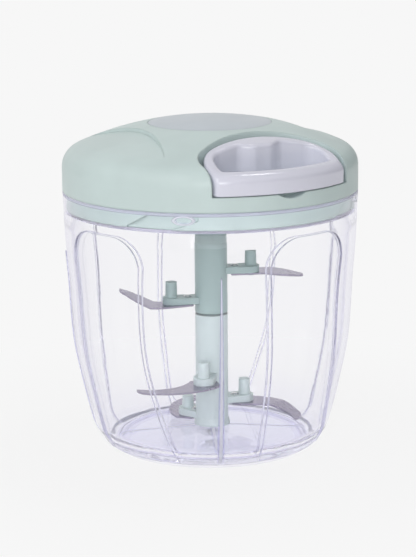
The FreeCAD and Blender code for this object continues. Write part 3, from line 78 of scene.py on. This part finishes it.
class Signal:
    """A shader output that is used like a number: every operator adds one Math node."""

    def __init__(self, finish, socket):
        self.finish = finish
        self.socket = socket

    def _with(self, operation, *rest):
        inputs = dict(enumerate((self,) + rest))
        return self.finish.node("ShaderNodeMath", {"operation": operation}, inputs)

    def __add__(self, other):
        return self._with("ADD", other)

    __radd__ = __add__

    def __sub__(self, other):
        return self._with("SUBTRACT", other)

    def __rsub__(self, other):
        return self._with("MULTIPLY", -1.0)._with("ADD", other)

    def __mul__(self, other):
        return self._with("MULTIPLY", other)

    __rmul__ = __mul__

    def __truediv__(self, other):
        return self._with("DIVIDE", other)

    def __pow__(self, other):
        return self._with("POWER", other)

    def sine(self):
        return self._with("SINE")

    def size(self):
        return self._with("ABSOLUTE")

    def between(self, low, high):
        """0 below low, 1 above high, and smooth in between."""
        return self.finish.node(
            "ShaderNodeMapRange", {"interpolation_type": "SMOOTHSTEP"},
            {"Value": self, "From Min": low, "From Max": high},
        )


class Finish:
    """One node tree, and the one method that adds a node to it."""

    def __init__(self, tree):
        self.tree = tree
        tree.nodes.clear()

    def node(self, kind, settings=None, inputs=None, output=0):
        """Add a node and give the signal of one output, or a list for several of them."""
        made = self.tree.nodes.new(kind)
        for key, value in (settings or {}).items():
            setattr(made, key, value)
        for key, value in (inputs or {}).items():
            socket = made.inputs[key]
            if isinstance(value, Signal):
                self.tree.links.new(value.socket, socket)
            else:
                socket.default_value = value
        if not made.outputs:
            return None
        if isinstance(output, tuple):
            return [Signal(self, made.outputs[key]) for key in output]
        return Signal(self, made.outputs[output])

    def place(self, scale=(1, 1, 1), turn=(0, 0, 0)):
        """Object coordinates, in metres, through a Mapping node."""
        at = self.node("ShaderNodeTexCoord", output="Object")
        return self.node("ShaderNodeMapping", {}, {
            "Vector": at, "Scale": scale, "Rotation": turn})

    def noise(self, scale, detail=2.0, rough=0.5, at=None):
        """Soft noise with so many cells to a metre."""
        return self.node("ShaderNodeTexNoise", {}, {
            "Vector": at or self.place(), "Scale": scale, "Detail": detail,
            "Roughness": rough})

    def blend(self, share, low, high):
        """A colour between two others. 0, 6, 7 and 2 are the Mix node's colour sockets."""
        return self.node("ShaderNodeMix", {"data_type": "RGBA"}, {
            0: share, 6: low, 7: high}, output=2)

    def mix(self, share, one, other):
        """A shader between two others."""
        return self.node("ShaderNodeMixShader", {}, {0: share, 1: one, 2: other})

    def larger(self, one, other):
        return self.node("ShaderNodeMath", {"operation": "MAXIMUM"}, {0: one, 1: other})

    def smaller(self, one, other):
        return self.node("ShaderNodeMath", {"operation": "MINIMUM"}, {0: one, 1: other})

    def dot(self, one, other):
        return self.node("ShaderNodeVectorMath", {"operation": "DOT_PRODUCT"}, {
            0: one, 1: other}, "Value")

    def soft_edges(self, radius, samples=6):
        return self.node("ShaderNodeBevel", {"samples": samples}, {"Radius": radius})

    def bump(self, height, strength, distance, normal=None):
        inputs = {"Height": height, "Strength": strength, "Distance": distance}
        if normal is not None:
            inputs["Normal"] = normal
        return self.node("ShaderNodeBump", {}, inputs)


def material(name):
    made = bpy.data.materials.new(name)
    made.use_nodes = True
    return made, Finish(made.node_tree)


def close(finish, surface, volume=None):
    """End a material's node tree with its output."""
    inputs = {"Surface": surface}
    if volume is not None:
        inputs["Volume"] = volume
    finish.node("ShaderNodeOutputMaterial", {}, inputs)


def rgba(r, g, b):
    return (r, g, b, 1.0)


def times(colour, factor):
    """A colour made darker or lighter, up to 1 in each channel."""
    return rgba(*(min(1.0, channel * factor) for channel in colour[:3]))


def moulded(name, colour, rough, grain=0.02 * MM, edge=0.7 * MM, mottle=0.03, specular=0.45,
            shade_fade=None, shade_seam=None):
    """Satin moulded plastic: faint clouding in its colour, spark-eroded grain and soft edges.
    shade_fade is a second colour and the two heights between which the first turns into it, used
    for painted shade, and shade_seam is the height of a joint along which a dark line of painted
    shade is laid."""
    made, f = material(name)
    cloud = f.noise(38.0, 3.0)
    sparks = f.noise(2600.0, 2.0, 0.6)
    tone = f.blend(cloud.between(0.3, 0.7), times(colour, 1 - mottle), times(colour, 1 + mottle))
    height = f.node("ShaderNodeSeparateXYZ", {}, {0: f.place()}, "Z")
    if shade_fade is not None:
        # painted shade: the colour turns into the darker second one between the two heights
        second, start, end = shade_fade
        tone = f.blend(height.between(start, end), tone, second)
    # painted shade: a dark line along the joint at this height
    if shade_seam is not None:
        seam_shade = 1 - (height - shade_seam).size().between(0.3 * MM, 0.8 * MM)
        tone = f.blend(seam_shade * 0.75, tone, times(colour, 0.3))
    uneven = 0.07
    shine = f.noise(120.0, 2.0).between(0.2, 0.8) * uneven + (rough - uneven / 2)
    surface = f.node("ShaderNodeBsdfPrincipled", {}, {
        "Base Color": tone, "Roughness": shine, "Specular IOR Level": specular,
        "Normal": f.bump(sparks, 0.35, grain, f.soft_edges(edge))})
    close(f, surface)
    return made


def brushed_steel(name, colour, rough, line_depth=0.25, edge=0.2 * MM):
    """Ground stainless steel: fine lines along the blade and a slightly uneven shine."""
    made, f = material(name)
    along_the_blade = f.place(scale=(1.0, 0.06, 1.0), turn=(0, 0, 0.6))
    streaks = f.noise(900.0, 2.0, 0.6, along_the_blade)
    cloud = f.noise(60.0, 2.0)
    tone = f.blend(streaks.between(0.25, 0.75), times(colour, 0.93), colour)
    from_cloud, from_streaks = 0.10, 0.08
    shine = cloud * from_cloud + streaks * from_streaks + (rough - (from_cloud + from_streaks) / 2)
    surface = f.node("ShaderNodeBsdfPrincipled", {}, {
        "Base Color": tone, "Metallic": 1.0, "Roughness": shine,
        "Normal": f.bump(streaks, line_depth, 0.02 * MM, f.soft_edges(edge))})
    close(f, surface)
    return made


def clear_plastic(name):
    """Clear styrene. Its edges, rim, creases, lugs and thick bottom corner carry painted
    highlights as pale lilac lines, with painted lilac shade beside the creases, and seen edge-on
    it turns a darker lilac, partly from its longer path through the plastic and partly as painted
    shade. Its wall has a faint moulding ripple, and it looks lilac at the base."""
    made, f = material(name)
    where = f.place()
    flat = f.node("ShaderNodeNewGeometry", output="Normal")
    x, y, height = f.node("ShaderNodeSeparateXYZ", {}, {0: where}, ("X", "Y", "Z"))
    out = (x * x + y * y) ** 0.5

    def beside(angle):
        """Distance sideways from the nearer of two upright planes that cross at the axis."""
        c, d = math.cos(math.radians(angle)), math.sin(math.radians(angle))
        return f.smaller((x * c + y * d).size(), (y * c - x * d).size())

    # only on the outside, where the normal points away from the middle
    outer = f.dot(flat, where).between(0.0, 0.004)

    # the four creases: a pale painted highlight down the middle and painted lilac shade on either
    # side, both wider further down the wall
    half_width = 0.22 * MM + (CREASE_TOP * MM - height).size() * 0.01
    aside = beside(CREASE_ANGLE) / half_width
    under_the_arches = 1 - height.between(87.0 * MM, CREASE_TOP * MM)
    wall_only = outer * under_the_arches * height.between(3.0 * MM, 4.5 * MM)
    crease_highlight = (1 - aside.between(0.55, 0.85)) * wall_only
    crease_shade_share = (1 - aside.between(1.15, 1.75)) * wall_only

    # a painted highlight line round each oval lug of the collar
    lug_across = beside(LUG_ANGLE) / (LUG_HALF_WIDTH * MM)
    lug_up = (height - LUG_Z * MM) / (LUG_HALF_HEIGHT * MM)
    from_line = ((lug_across ** 2.0 + lug_up ** 2.0) ** 0.5 - 0.95).size()
    lug_highlight = (1 - from_line.between(0.08, 0.22)) * outer

    # painted highlights at sharp edges, where the softened normal leaves the flat one, at the
    # bottom corner and at the rim
    soft = f.soft_edges(0.7 * MM, 4)
    edge = (1 - f.dot(soft, flat)).between(0.004, 0.05)
    corner = (1 - height.between(4.5 * MM, 7.5 * MM)) * out.between(40.0 * MM, 43.5 * MM)
    rim = height.between(113.9 * MM, 114.8 * MM)

    # the colour that the plastic gives to what is seen through it; the dark lilac seen edge-on is
    # partly the longer path through the plastic and partly painted shade, and the lilac beside the
    # creases is painted shade
    straight_on, grazing_shade = rgba(0.985, 0.985, 0.995), rgba(0.38, 0.34, 0.64)
    low_wall, thick_base, lilac_crease_shade = (
        rgba(0.945, 0.94, 0.985), rgba(0.835, 0.835, 0.955), rgba(0.60, 0.59, 0.84))
    facing = f.node("ShaderNodeLayerWeight", {}, {"Blend": 0.5}, "Facing")
    tint = f.blend(facing ** 4.5, straight_on, grazing_shade)
    tint = f.blend(1 - height.between(8.0 * MM, 24.0 * MM), tint, low_wall)
    base = (1 - height.between(8.5 * MM, 10.5 * MM)) * (1 - out.between(36.0 * MM, 46.0 * MM))
    tint = f.blend(base, tint, thick_base)
    # painted shade: the plastic turns a darker lilac beside each crease
    tint = f.blend(crease_shade_share * 0.8, tint, lilac_crease_shade)

    haze = f.noise(300.0, 2.0).between(0.3, 0.8) * 0.02 + 0.01
    ripple = f.noise(26.0, 2.0, 0.4)
    glass = f.node("ShaderNodeBsdfPrincipled", {}, {
        "Base Color": tint, "Roughness": haze, "IOR": 1.30, "Transmission Weight": 1.0,
        "Normal": f.bump(ripple, 0.10, 0.4 * MM, soft)})

    def milky(colour):
        """Half of the light goes through and half comes back, both scattered."""
        through = f.node("ShaderNodeBsdfTranslucent", {}, {"Color": colour})
        back = f.node("ShaderNodeBsdfDiffuse", {}, {"Color": colour})
        return f.mix(0.5, through, back)

    # the pale and lilac lines laid over the clear plastic are painted highlights: milky shaders
    # standing in for light caught by edges, creases, lugs, corner and rim
    pale_highlight_mask = f.larger(f.larger(crease_highlight, lug_highlight), f.larger(corner, rim * 0.7))
    line = f.mix(pale_highlight_mask, milky(rgba(0.74, 0.72, 1.0)), milky(rgba(0.94, 0.94, 1.0)))
    painted_highlight_share = f.larger(f.larger(edge * 0.45, corner * 0.12), f.larger(rim * 0.65, lug_highlight * 0.80))
    body = f.mix(f.larger(painted_highlight_share, crease_highlight * 0.85), glass, line)

    # light passes on its way to a lamp as it would through a thin clear sheet
    shadow = f.node("ShaderNodeLightPath", output="Is Shadow Ray")
    lit = f.node("ShaderNodeBsdfTransparent", {}, {"Color": rgba(0.94, 0.94, 0.97)})
    inside = f.node("ShaderNodeVolumeAbsorption", {}, {
        "Color": rgba(0.55, 0.53, 0.80), "Density": 3.0})
    close(f, f.mix(shadow, body, lit), inside)
    return made


def frosted(name, colour, rough, share, clear=0.0):
    """Soft milky plastic that lets part of the light through: share of it as a glow, and of
    all that clear straight through."""
    made, f = material(name)
    cloud = f.noise(90.0, 2.0)
    tone = f.blend(cloud.between(0.3, 0.7), times(colour, 0.97), colour)
    surface = f.node("ShaderNodeBsdfPrincipled", {}, {
        "Base Color": tone, "Roughness": cloud * 0.08 + rough, "IOR": 1.45,
        "Normal": f.bump(f.noise(900.0), 0.2, 0.03 * MM, f.soft_edges(0.4 * MM))})
    glow = f.node("ShaderNodeBsdfTranslucent", {}, {"Color": colour})
    milky = f.mix(share, surface, glow)
    if clear:
        through = f.node("ShaderNodeBsdfTransparent", {}, {"Color": colour})
        milky = f.mix(clear, milky, through)
    close(f, milky)
    return made


def braided(name, colour, dark, strands=6.0):
    """Round braided cord: two sets of strands that cross, from the tube's own UV map."""
    made, f = material(name)
    uv = f.node("ShaderNodeUVMap", {"uv_map": "UVMap"})
    across, along = f.node("ShaderNodeSeparateXYZ", {}, {0: uv}, ("X", "Y"))
    one = ((across * strands + along) * (2 * math.pi)).sine()
    two = ((across * strands - along) * (2 * math.pi)).sine()
    weave = (one * two).between(-0.8, 0.8)
    fuzz = f.noise(4000.0, 2.0)
    tone = f.blend(weave * 0.8 + fuzz * 0.2, dark, colour)
    surface = f.node("ShaderNodeBsdfPrincipled", {}, {
        "Base Color": tone, "Roughness": fuzz * 0.15 + 0.62,
        "Normal": f.bump(weave + fuzz * 0.2, 0.7, 0.25 * MM)})
    close(f, surface)
    return made


mint = moulded("mint_satin", rgba(0.592, 0.700, 0.688), 0.40, edge=1.1 * MM)
# the collar's mint is a darker copy of the lid's, painted shade for the collar seen inside the
# bowl
shaded_mint = moulded("mint_collar_shaded", rgba(0.530, 0.632, 0.616), 0.40)
# both hubs carry a dark line of painted shade along their joint
mint_low = moulded("mint_lower_hub", rgba(0.56, 0.635, 0.64), 0.36, edge=0.4 * MM,
                   shade_seam=HUB_SEAM * MM)
# the upper hub: a darker mint than the lower one, partly its own two-tone colour and partly
# painted shade from the lid above, painted darker still from 88 to 106 mm up
mint_high = moulded("mint_upper_hub", rgba(0.345, 0.440, 0.435), 0.36, edge=0.4 * MM,
                    shade_fade=(rgba(0.23, 0.31, 0.32), 88.0 * MM, 106.0 * MM),
                    shade_seam=HUB_SEAM * MM)
lilac = moulded("lilac_grey_satin", rgba(0.725, 0.725, 0.825), 0.18, grain=0.006 * MM,
                edge=0.4 * MM, mottle=0.02, specular=0.7)
disc_grey = moulded("disc_grey", rgba(0.560, 0.613, 0.662), 0.36, edge=0.3 * MM)
nylon = moulded("natural_nylon", rgba(0.74, 0.73, 0.68), 0.42, edge=0.3 * MM)
# the blade steel is a darkened lilac copy of the steel below, a painted dark reflection
blade_steel = brushed_steel("blade_steel", rgba(0.38, 0.35, 0.44), 0.26)
bright_steel = brushed_steel("bright_steel", rgba(0.70, 0.70, 0.71), 0.20, line_depth=0.08)
clear = clear_plastic("clear_styrene")
foot = frosted("foot_elastomer", rgba(0.985, 0.98, 1.0), 0.42, 0.60, clear=0.85)
silicone = frosted("silicone", rgba(0.86, 0.84, 0.98), 0.45, 0.4)
cord_finish = braided("braided_cord", rgba(0.78, 0.77, 0.80), rgba(0.42, 0.41, 0.45))

FINISHES = {
    foot: ["foot_ring"],
    mint: ["lid_cover"],
    shaded_mint: ["lid_base"],
    mint_low: ["lower_hub"],
    mint_high: ["upper_hub"],
    lilac: ["cord_bead"],
    silicone: ["seal_ring"],
    blade_steel: ["blade_lower_a", "blade_lower_b", "blade_lower_c", "blade_upper_a",
                  "blade_upper_b", "recoil_spring"],
    bright_steel: ["pivot_pin", "blade_rivets", "cover_screws", "center_axle", "axle_clip",
                   "pawl_pins"],
    nylon: ["pivot_bush", "cord_eyelet", "drive_coupler", "cord_spool", "spring_cap",
            "pawl_a", "pawl_b"],
    cord_finish: ["cord_winding"],
}
for finish, nodes in FINISHES.items():
    for node in nodes:
        cad[node].data.materials.clear()
        cad[node].data.materials.append(finish)


# ---------------------------------------------------------------- shared shapes

def merged(mesh):
    """A mesh's faces with their doubled corners merged, open for more work."""
    shape = bmesh.new()
    shape.from_mesh(mesh)
    bmesh.ops.remove_doubles(shape, verts=shape.verts, dist=1e-7)
    return shape


def placed(name, data):
    """A new object in the scene, at the origin, for a mesh, a light or a camera."""
    made = bpy.data.objects.new(name, data)
    bpy.context.scene.collection.objects.link(made)
    return made


def grid_mesh(name, points, wrap_u=False, wrap_v=False, uv=None):
    """A piece from an array of points with two grid directions, closed where they wrap."""
    rows, columns = points.shape[:2]
    i = np.arange(rows if wrap_u else rows - 1)
    j = np.arange(columns if wrap_v else columns - 1)
    i, j = np.meshgrid(i, j, indexing="ij")
    a = i * columns + j
    b = ((i + 1) % rows) * columns + j
    c = ((i + 1) % rows) * columns + (j + 1) % columns
    d = i * columns + (j + 1) % columns
    faces = np.stack([a, b, c, d], -1).reshape(-1, 4)
    mesh = bpy.data.meshes.new(name)
    mesh.from_pydata(points.reshape(-1, 3).tolist(), [], faces.tolist())
    if uv is not None:
        layer = mesh.uv_layers.new(name="UVMap")
        layer.data.foreach_set("uv", uv.reshape(-1, 2)[faces.ravel()].ravel().astype(np.float32))
    shape = merged(mesh)
    bmesh.ops.dissolve_degenerate(shape, dist=1e-8, edges=shape.edges)
    if wrap_u and wrap_v and shape.calc_volume(signed=True) < 0:
        bmesh.ops.reverse_faces(shape, faces=shape.faces)
    shape.to_mesh(mesh)
    shape.free()
    mesh.shade_smooth()
    return placed(name, mesh)


def ease(low, high, value):
    """The share of the way from low to high, eased at both ends: 3 t^2 - 2 t^3."""
    t = np.clip((value - low) / (high - low), 0, 1)
    return t * t * (3 - 2 * t)


def dome(x, y, drop):
    """Height of the lid's sphere, or of one that is smaller by drop round the same middle."""
    return LID_BALL_MIDDLE + np.sqrt((LID_BALL_RADIUS - drop) ** 2 - x ** 2 - y ** 2)


# ---------------------------------------------------------------- pull cord

def cord_surface(name, route, radius, around=16):
    """A round tube along a route: each ring is the route's point plus the radius times the
    cosine and sine of the ring's angle, in the two directions square to the route."""
    along = np.gradient(route, axis=0)
    along /= np.linalg.norm(along, axis=1)[:, None]
    side = np.cross(along, [0.0, 0.0, 1.0])
    side /= np.linalg.norm(side, axis=1)[:, None]
    up = np.cross(side, along)
    angle = np.linspace(0, 2 * np.pi, around + 1)
    ring = (np.cos(angle)[None, :, None] * side[:, None, :]
            + np.sin(angle)[None, :, None] * up[:, None, :])
    points = route[:, None, :] + radius * ring
    length = np.concatenate([[0], np.cumsum(np.linalg.norm(np.diff(route, axis=0), axis=1))])
    braid_pitch = 4.0 * MM
    u, v = np.meshgrid(length / braid_pitch, angle / (2 * np.pi), indexing="ij")
    return grid_mesh(name, points, uv=np.stack([v, u], -1))


# from the spool round the eyelet's mouth, and straight out to the handle's bead
spool_to_eyelet = np.array([
    (-12.2, -17.2), (-9.2, -19.2), (-6.0, -21.5), (-3.2, -23.6), (-1.2, -25.4), (-0.3, -27.2),
    (0.0, -29.2), (0.0, CORD_GUIDE_END),
])
inside_count, outside_count = 25, 60
share = np.linspace(0, 1, inside_count)
share_of_point = np.linspace(0, 1, len(spool_to_eyelet))
inside = np.stack([
    np.interp(share, share_of_point, spool_to_eyelet[:, 0]),
    np.interp(share, share_of_point, spool_to_eyelet[:, 1]),
    np.full(inside_count, CORD_Z)], 1)
outside = np.stack([
    np.zeros(outside_count),
    np.linspace(CORD_GUIDE_END, CORD_BEAD_SEAT, outside_count + 1)[1:],
    np.full(outside_count, CORD_Z)], 1)
cord = cord_surface("pull_cord_braid", np.vstack([inside, outside]) * MM, CORD_RADIUS * MM)
cord.data.materials.append(cord_finish)
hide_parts("pull_cord")
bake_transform(cord)


# ---------------------------------------------------------------- loop handle

def straight(a, b, count):
    """Points from a towards b, without b itself."""
    share = np.arange(count)[:, None] / count
    return np.array(a) + share * (np.array(b) - np.array(a))


def bent(a, m, b, count):
    """Points on the circle through a, m and b, from a towards b, without b itself."""
    (ax, ay), (mx, my), (bx, by) = a, m, b
    d = 2 * (ax * (my - by) + mx * (by - ay) + bx * (ay - my))
    aa, mm, bb = ax * ax + ay * ay, mx * mx + my * my, bx * bx + by * by
    cx = (aa * (my - by) + mm * (by - ay) + bb * (ay - my)) / d
    cy = (aa * (bx - mx) + mm * (ax - bx) + bb * (mx - ax)) / d
    start, middle, end = (math.atan2(q[1] - cy, q[0] - cx) for q in (a, m, b))
    turn = (end - start) % (2 * math.pi)
    if (middle - start) % (2 * math.pi) > turn:
        turn -= 2 * math.pi
    angle = start + turn * np.arange(count) / count
    r = math.hypot(ax - cx, ay - cy)
    return np.stack([cx + r * np.cos(angle), cy + r * np.sin(angle)], 1)


def softened(loop, reach=2):
    """A closed row of points, each replaced by the weighted mean of its neighbours."""
    offset = np.arange(-3 * reach, 3 * reach + 1)
    weight = np.exp(-0.5 * (offset / reach) ** 2)
    weight /= weight.sum()
    return sum(w * np.roll(loop, -k, axis=0) for k, w in zip(offset, weight))


def outer_outline():
    """The handle's outer outline: a front arc, two short sides, two shoulders and a back arc."""
    front, side, shoulder = (32.4, -56.35), (32.4, -50.3), (22.0, -36.6)
    left_front, left_side, left_shoulder = ((-x, y) for x, y in (front, side, shoulder))
    return softened(np.vstack([
        bent(left_front, (0, -65), front, 96),
        straight(front, side, 9),
        bent(side, (29.0, -41.5), shoulder, 27),
        bent(shoulder, (0, -33.3), left_shoulder, 130),
        bent(left_shoulder, (-29.0, -41.5), left_side, 27),
        straight(left_side, left_front, 9)]))


def inner_outline():
    """The handle's inner outline, with as many points. Its back edge is a flat curve with y
    at -37.6 less 0.0116 x^2, and the thumb pad stands 4.8 forward of it, with eased ends."""
    front, side, shoulder, pad = (27.2, -52.8), (27.0, -49.0), (20.0, -40.9), (12.5, -39.4)
    left_front, left_side, left_shoulder, left_pad = (
        (-x, y) for x, y in (front, side, shoulder, pad))
    x = np.linspace(pad[0], left_pad[0], 91)[:-1]
    bulge = 1 - ease(3.0, 12.0, np.abs(x))
    return softened(np.vstack([
        bent(left_front, (0, -59.4), front, 96),
        straight(front, side, 5),
        bent(side, (25.3, -43.5), shoulder, 31),
        straight(shoulder, pad, 20),
        np.stack([x, -37.6 - 0.0116 * x ** 2 - 4.8 * bulge], 1),
        straight(left_pad, left_shoulder, 20),
        bent(left_shoulder, (-25.3, -43.5), left_side, 31),
        straight(left_side, left_front, 5)]))


def loop_handle():
    """The loop handle. Each ring runs round the bar between the outer and inner outline: the
    two walls stand upright, the top follows the lid's sphere, less up to 1.2 at the inner
    edge of the front bar, and where wall and top meet the ring follows a quarter ellipse,
    fullest on the front bar."""
    outer, inner = outer_outline(), inner_outline()
    wide = np.linalg.norm(inner - outer, axis=1)[:, None]
    nowhere, everywhere = 0 * wide, 1 + 0 * wide
    ahead = ease(47.0, 54.0, -(outer[:, 1:] + inner[:, 1:]) / 2)
    outer_round = np.minimum(1.5 + 2.0 * ahead, 0.55 * wide)
    inner_round = np.minimum(1.5 - 0.2 * ahead, 0.38 * wide)
    low, small = HANDLE_UNDERSIDE, HANDLE_UNDER_ROUND
    rows = []

    def row(share, height):
        """One line round the loop: a share of the way from outer to inner, and a height."""
        flat = outer + share * (inner - outer)
        rows.append(np.concatenate([flat, np.broadcast_to(height, wide.shape)], 1))

    def top(share):
        """Height of the top at a share of the way from outer to inner."""
        flat = outer + share * (inner - outer)
        return dome(flat[:, :1], flat[:, 1:], HANDLE_SINK) - FRONT_BAR_SINK * ahead * share

    quarter = np.linspace(0, math.pi / 2, 9)
    for a in quarter[::4]:
        row(small * (1 - math.sin(a)) / wide, low + small * (1 - math.cos(a)))
    for k in np.linspace(0.1, 0.9, 6):
        row(nowhere, low + small + k * (top(nowhere) - outer_round - low - small))
    for a in quarter:
        share = outer_round * (1 - math.cos(a)) / wide
        row(share, top(share) - outer_round * (1 - math.sin(a)))
    for k in (0.25, 0.5, 0.75):
        share = outer_round / wide + k * (1 - (outer_round + inner_round) / wide)
        row(share, top(share))
    for a in quarter:
        share = 1 - inner_round * (1 - math.sin(a)) / wide
        row(share, top(share) - inner_round * (1 - math.cos(a)))
    wall_top, wall_foot = top(everywhere) - inner_round, low + 0.3
    for k in np.linspace(0.02, 0.98, 40):
        row(everywhere, wall_top + k * (wall_foot - wall_top))
    for share in (1.0, 0.75, 0.5, 0.25):
        row(share * everywhere, low)
    return np.stack(rows, 1)


handle = grid_mesh("loop_handle", loop_handle() * MM, wrap_u=True, wrap_v=True)
handle.data.materials.append(lilac)
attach(handle, "handle")
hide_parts("pull_handle")


# ---------------------------------------------------------------- bowl and foot ring

def filled_out(node, name, swell):
    """A merged copy of a clear moulding with a fuller lower wall and a lower corner. With
    ease(a, b) for the eased share of the way from a to b, a point at height z and radius r
    moves out by swell * (1 - ease(40, 82)) * ease(2.5, 14) of z, times ease(38, 45) of
    r + 0.6 (z - 5), which leaves the floor and the boss alone, and it comes down by
    2.6 * min(z / 5, 1) * (1 - ease(5, 40)) of z, times ease(12, 32) of r."""
    source = cad[node].data
    place = np.empty(len(source.vertices) * 3)
    source.vertices.foreach_get("co", place)
    x, y, z = place.reshape(-1, 3).T / MM
    corners = np.empty(len(source.polygons) * 3, int)
    source.polygons.foreach_get("vertices", corners)
    r = np.hypot(x, y)
    out = swell * (1 - ease(40, 82, z)) * ease(2.5, 14, z)
    out *= ease(38, 45, r + 0.6 * (z - 5))
    down = CORNER_DROP * np.minimum(z / 5, 1) * (1 - ease(5, 40, z)) * ease(12, 32, r)
    grow = 1 + out / np.maximum(r, 1)
    mesh = bpy.data.meshes.new(name)
    mesh.from_pydata((np.stack([x * grow, y * grow, z - down], 1) * MM).tolist(), [],
                     corners.reshape(-1, 3).tolist())
    shape = merged(mesh)
    shape.to_mesh(mesh)
    shape.free()
    mesh.shade_smooth()
    mesh.set_sharp_from_angle(angle=math.radians(35))
    return placed(name, mesh)


for node, name, swell, finish, slot in (
        ("bowl", "clear_bowl", WALL_SWELL, clear, "bowl_clear"),
        ("foot_ring", "clear_foot", 0.0, foot, "foot_clear")):
    moulding = filled_out(node, name, swell)
    moulding.data.materials.append(finish)
    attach(moulding, "bowl")
    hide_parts(node)


# ---------------------------------------------------------------- cap disc

def cap_disc(radius, around=128):
    """The cap disc: rings that follow the lid's sphere from the axis to a small round at the
    edge, down the edge, and back to the axis on a second sphere."""
    flat_radius = radius - DISC_ROUND
    angle = np.linspace(0, math.pi / 2, 5)
    top = flat_radius * np.arange(13) / 13
    edge = flat_radius + DISC_ROUND * np.sin(angle)
    under = radius * np.array([1.0, 0.5, 0.0])
    r = np.concatenate([top, edge, under])
    z = np.concatenate([dome(top, 0, 0), dome(edge, 0, 0) - DISC_ROUND * (1 - np.cos(angle)),
                        dome(under, 0, DISC_THICKNESS)])
    a = np.linspace(0, 2 * np.pi, around + 1)[:-1]
    return np.stack([np.outer(r, np.cos(a)), np.outer(r, np.sin(a)),
                     np.repeat(z[:, None], around, 1)], -1)


disc_points = cap_disc(DISC_RADIUS + DISC_GAP_FILL)[::-1] * MM
disc = grid_mesh("cap_disc", disc_points, wrap_v=True)
disc.data.materials.append(disc_grey)
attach(disc, "lid")
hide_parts("top_disc")


# ---------------------------------------------------------------- stage, light and camera

def floor_disc(radius, rings=24, around=96):
    """A flat round floor: each ring lies at the radius times its share to the power 1.5."""
    just_under = -0.1 * MM
    r = radius * np.linspace(0.0005, 1, rings) ** 1.5
    a = np.linspace(0, 2 * np.pi, around + 1)[:-1]
    rr, aa = np.meshgrid(r, a, indexing="ij")
    points = np.stack([rr * np.cos(aa), rr * np.sin(aa), np.full_like(rr, just_under)], -1)
    return grid_mesh("floor", points[:, ::-1], wrap_v=True)


def either(f, *kinds):
    """1 for a ray of any of these kinds."""
    first, *others = f.node("ShaderNodeLightPath", output=kinds)
    for other in others[:-1]:
        first = first + other
    return f.node("ShaderNodeMath", {"operation": "ADD", "use_clamp": True}, {
        0: first, 1: others[-1]})


BACKDROP = 0.930
NEAR_THE_PART = 0.93

floor = floor_disc(3.0)
floor_material, f = material("studio_floor")
seen = either(f, "Is Camera Ray", "Is Glossy Ray", "Is Transmission Ray")
radius = f.node("ShaderNodeVectorMath", {"operation": "LENGTH"}, {0: f.place()}, "Value")
keep = seen * (NEAR_THE_PART + (1 - NEAR_THE_PART) * radius.between(0.06, 0.20))
matte = f.node("ShaderNodeBsdfDiffuse", {}, {"Color": rgba(0.86, 0.86, 0.86)})
glow = f.node("ShaderNodeEmission", {}, {
    "Color": rgba(BACKDROP, BACKDROP, BACKDROP), "Strength": 1.0})
close(f, f.mix(keep, matte, glow))
floor.data.materials.append(floor_material)

world = bpy.data.worlds.new("studio")
bpy.context.scene.world = world
world.use_nodes = True
f = Finish(world.node_tree)
seen = either(f, "Is Camera Ray", "Is Transmission Ray")
toward = f.node("ShaderNodeTexCoord")  # in a world its first output is the direction looked in
across = f.dot(toward, (0.848, -0.530, 0.0))
height = f.dot(toward, (0.0, 0.0, 1.0))
low = 1 - height.between(0.15, 0.75)
right = across.between(0.0, 0.65)
left = (across * -1.0).between(0.35, 0.95)
top = height.between(0.45, 0.95)
# brightness around the part: darker low down on its right, a little on its left, and above
level = 0.86 - low * (right * 0.84 + left * 0.25) - top * 0.50
strength = f.node("ShaderNodeMix", {"data_type": "FLOAT"}, {0: seen, 2: level, 3: BACKDROP})
sky = f.node("ShaderNodeBackground", {}, {"Color": rgba(1, 1, 1), "Strength": strength})
f.node("ShaderNodeOutputWorld", {}, {"Surface": sky})


def lamp(name, place, target, size, power):
    """A white rectangular lamp that looks at a target, unseen by the camera."""
    light = bpy.data.lights.new(name, "AREA")
    light.shape = "RECTANGLE"
    light.size, light.size_y = size
    light.energy = power
    made = placed(name, light)
    made.location = place
    made.rotation_euler = (Vector(target) - Vector(place)).to_track_quat("-Z", "Y").to_euler()
    made.visible_camera = False


lamp("key", (-1.05, -0.35, 0.95), (0, 0, 0.10), (0.5, 0.7), 2.9)
lamp("overhead", (0.34, 0.0, 1.05), (0, 0, 0.12), (0.2, 0.2), 1.3)
lamp("front", (-0.76, -1.14, 0.42), (0, 0, 0.12), (0.7, 0.4), 4.1)

# the picture is 557 pixels high, and the lens and shift are given in its pixels
PICTURE_PIXELS = 557.0
LENS_PIXELS = 2141.0
SHIFT_PIXELS = -3.02
SENSOR_WIDTH = 36.0
CAMERA_REACH = 0.9298
CAMERA_HEIGHT = 0.2776

camera_data = bpy.data.cameras.new("camera")
camera_data.sensor_width = SENSOR_WIDTH
camera_data.sensor_fit = "AUTO"
camera_data.lens = LENS_PIXELS / PICTURE_PIXELS * SENSOR_WIDTH
camera_data.shift_x = SHIFT_PIXELS / PICTURE_PIXELS
camera_data.clip_start = 0.05
camera_data.clip_end = 20.0
camera = placed("camera", camera_data)
turn, pitch, roll = math.radians(-32.0), math.radians(12.33), math.radians(-0.48)
place = Vector((math.sin(turn) * CAMERA_REACH, -math.cos(turn) * CAMERA_REACH, CAMERA_HEIGHT))
look = Vector((-math.sin(turn) * math.cos(pitch), math.cos(turn) * math.cos(pitch),
               -math.sin(pitch)))
facing = look.to_track_quat("-Z", "Y").to_matrix()
camera.matrix_world = Matrix.Translation(place) @ (
    facing @ Matrix.Rotation(roll, 3, "Z")).to_4x4()
bpy.context.scene.camera = camera

bpy.context.scene.view_settings.view_transform = "Standard"
# the clear walls turn light back many times before it leaves their edges
cycles = bpy.context.scene.cycles
cycles.max_bounces, cycles.glossy_bounces, cycles.transmission_bounces = 24, 16, 24
cycles.transparent_max_bounces = 24
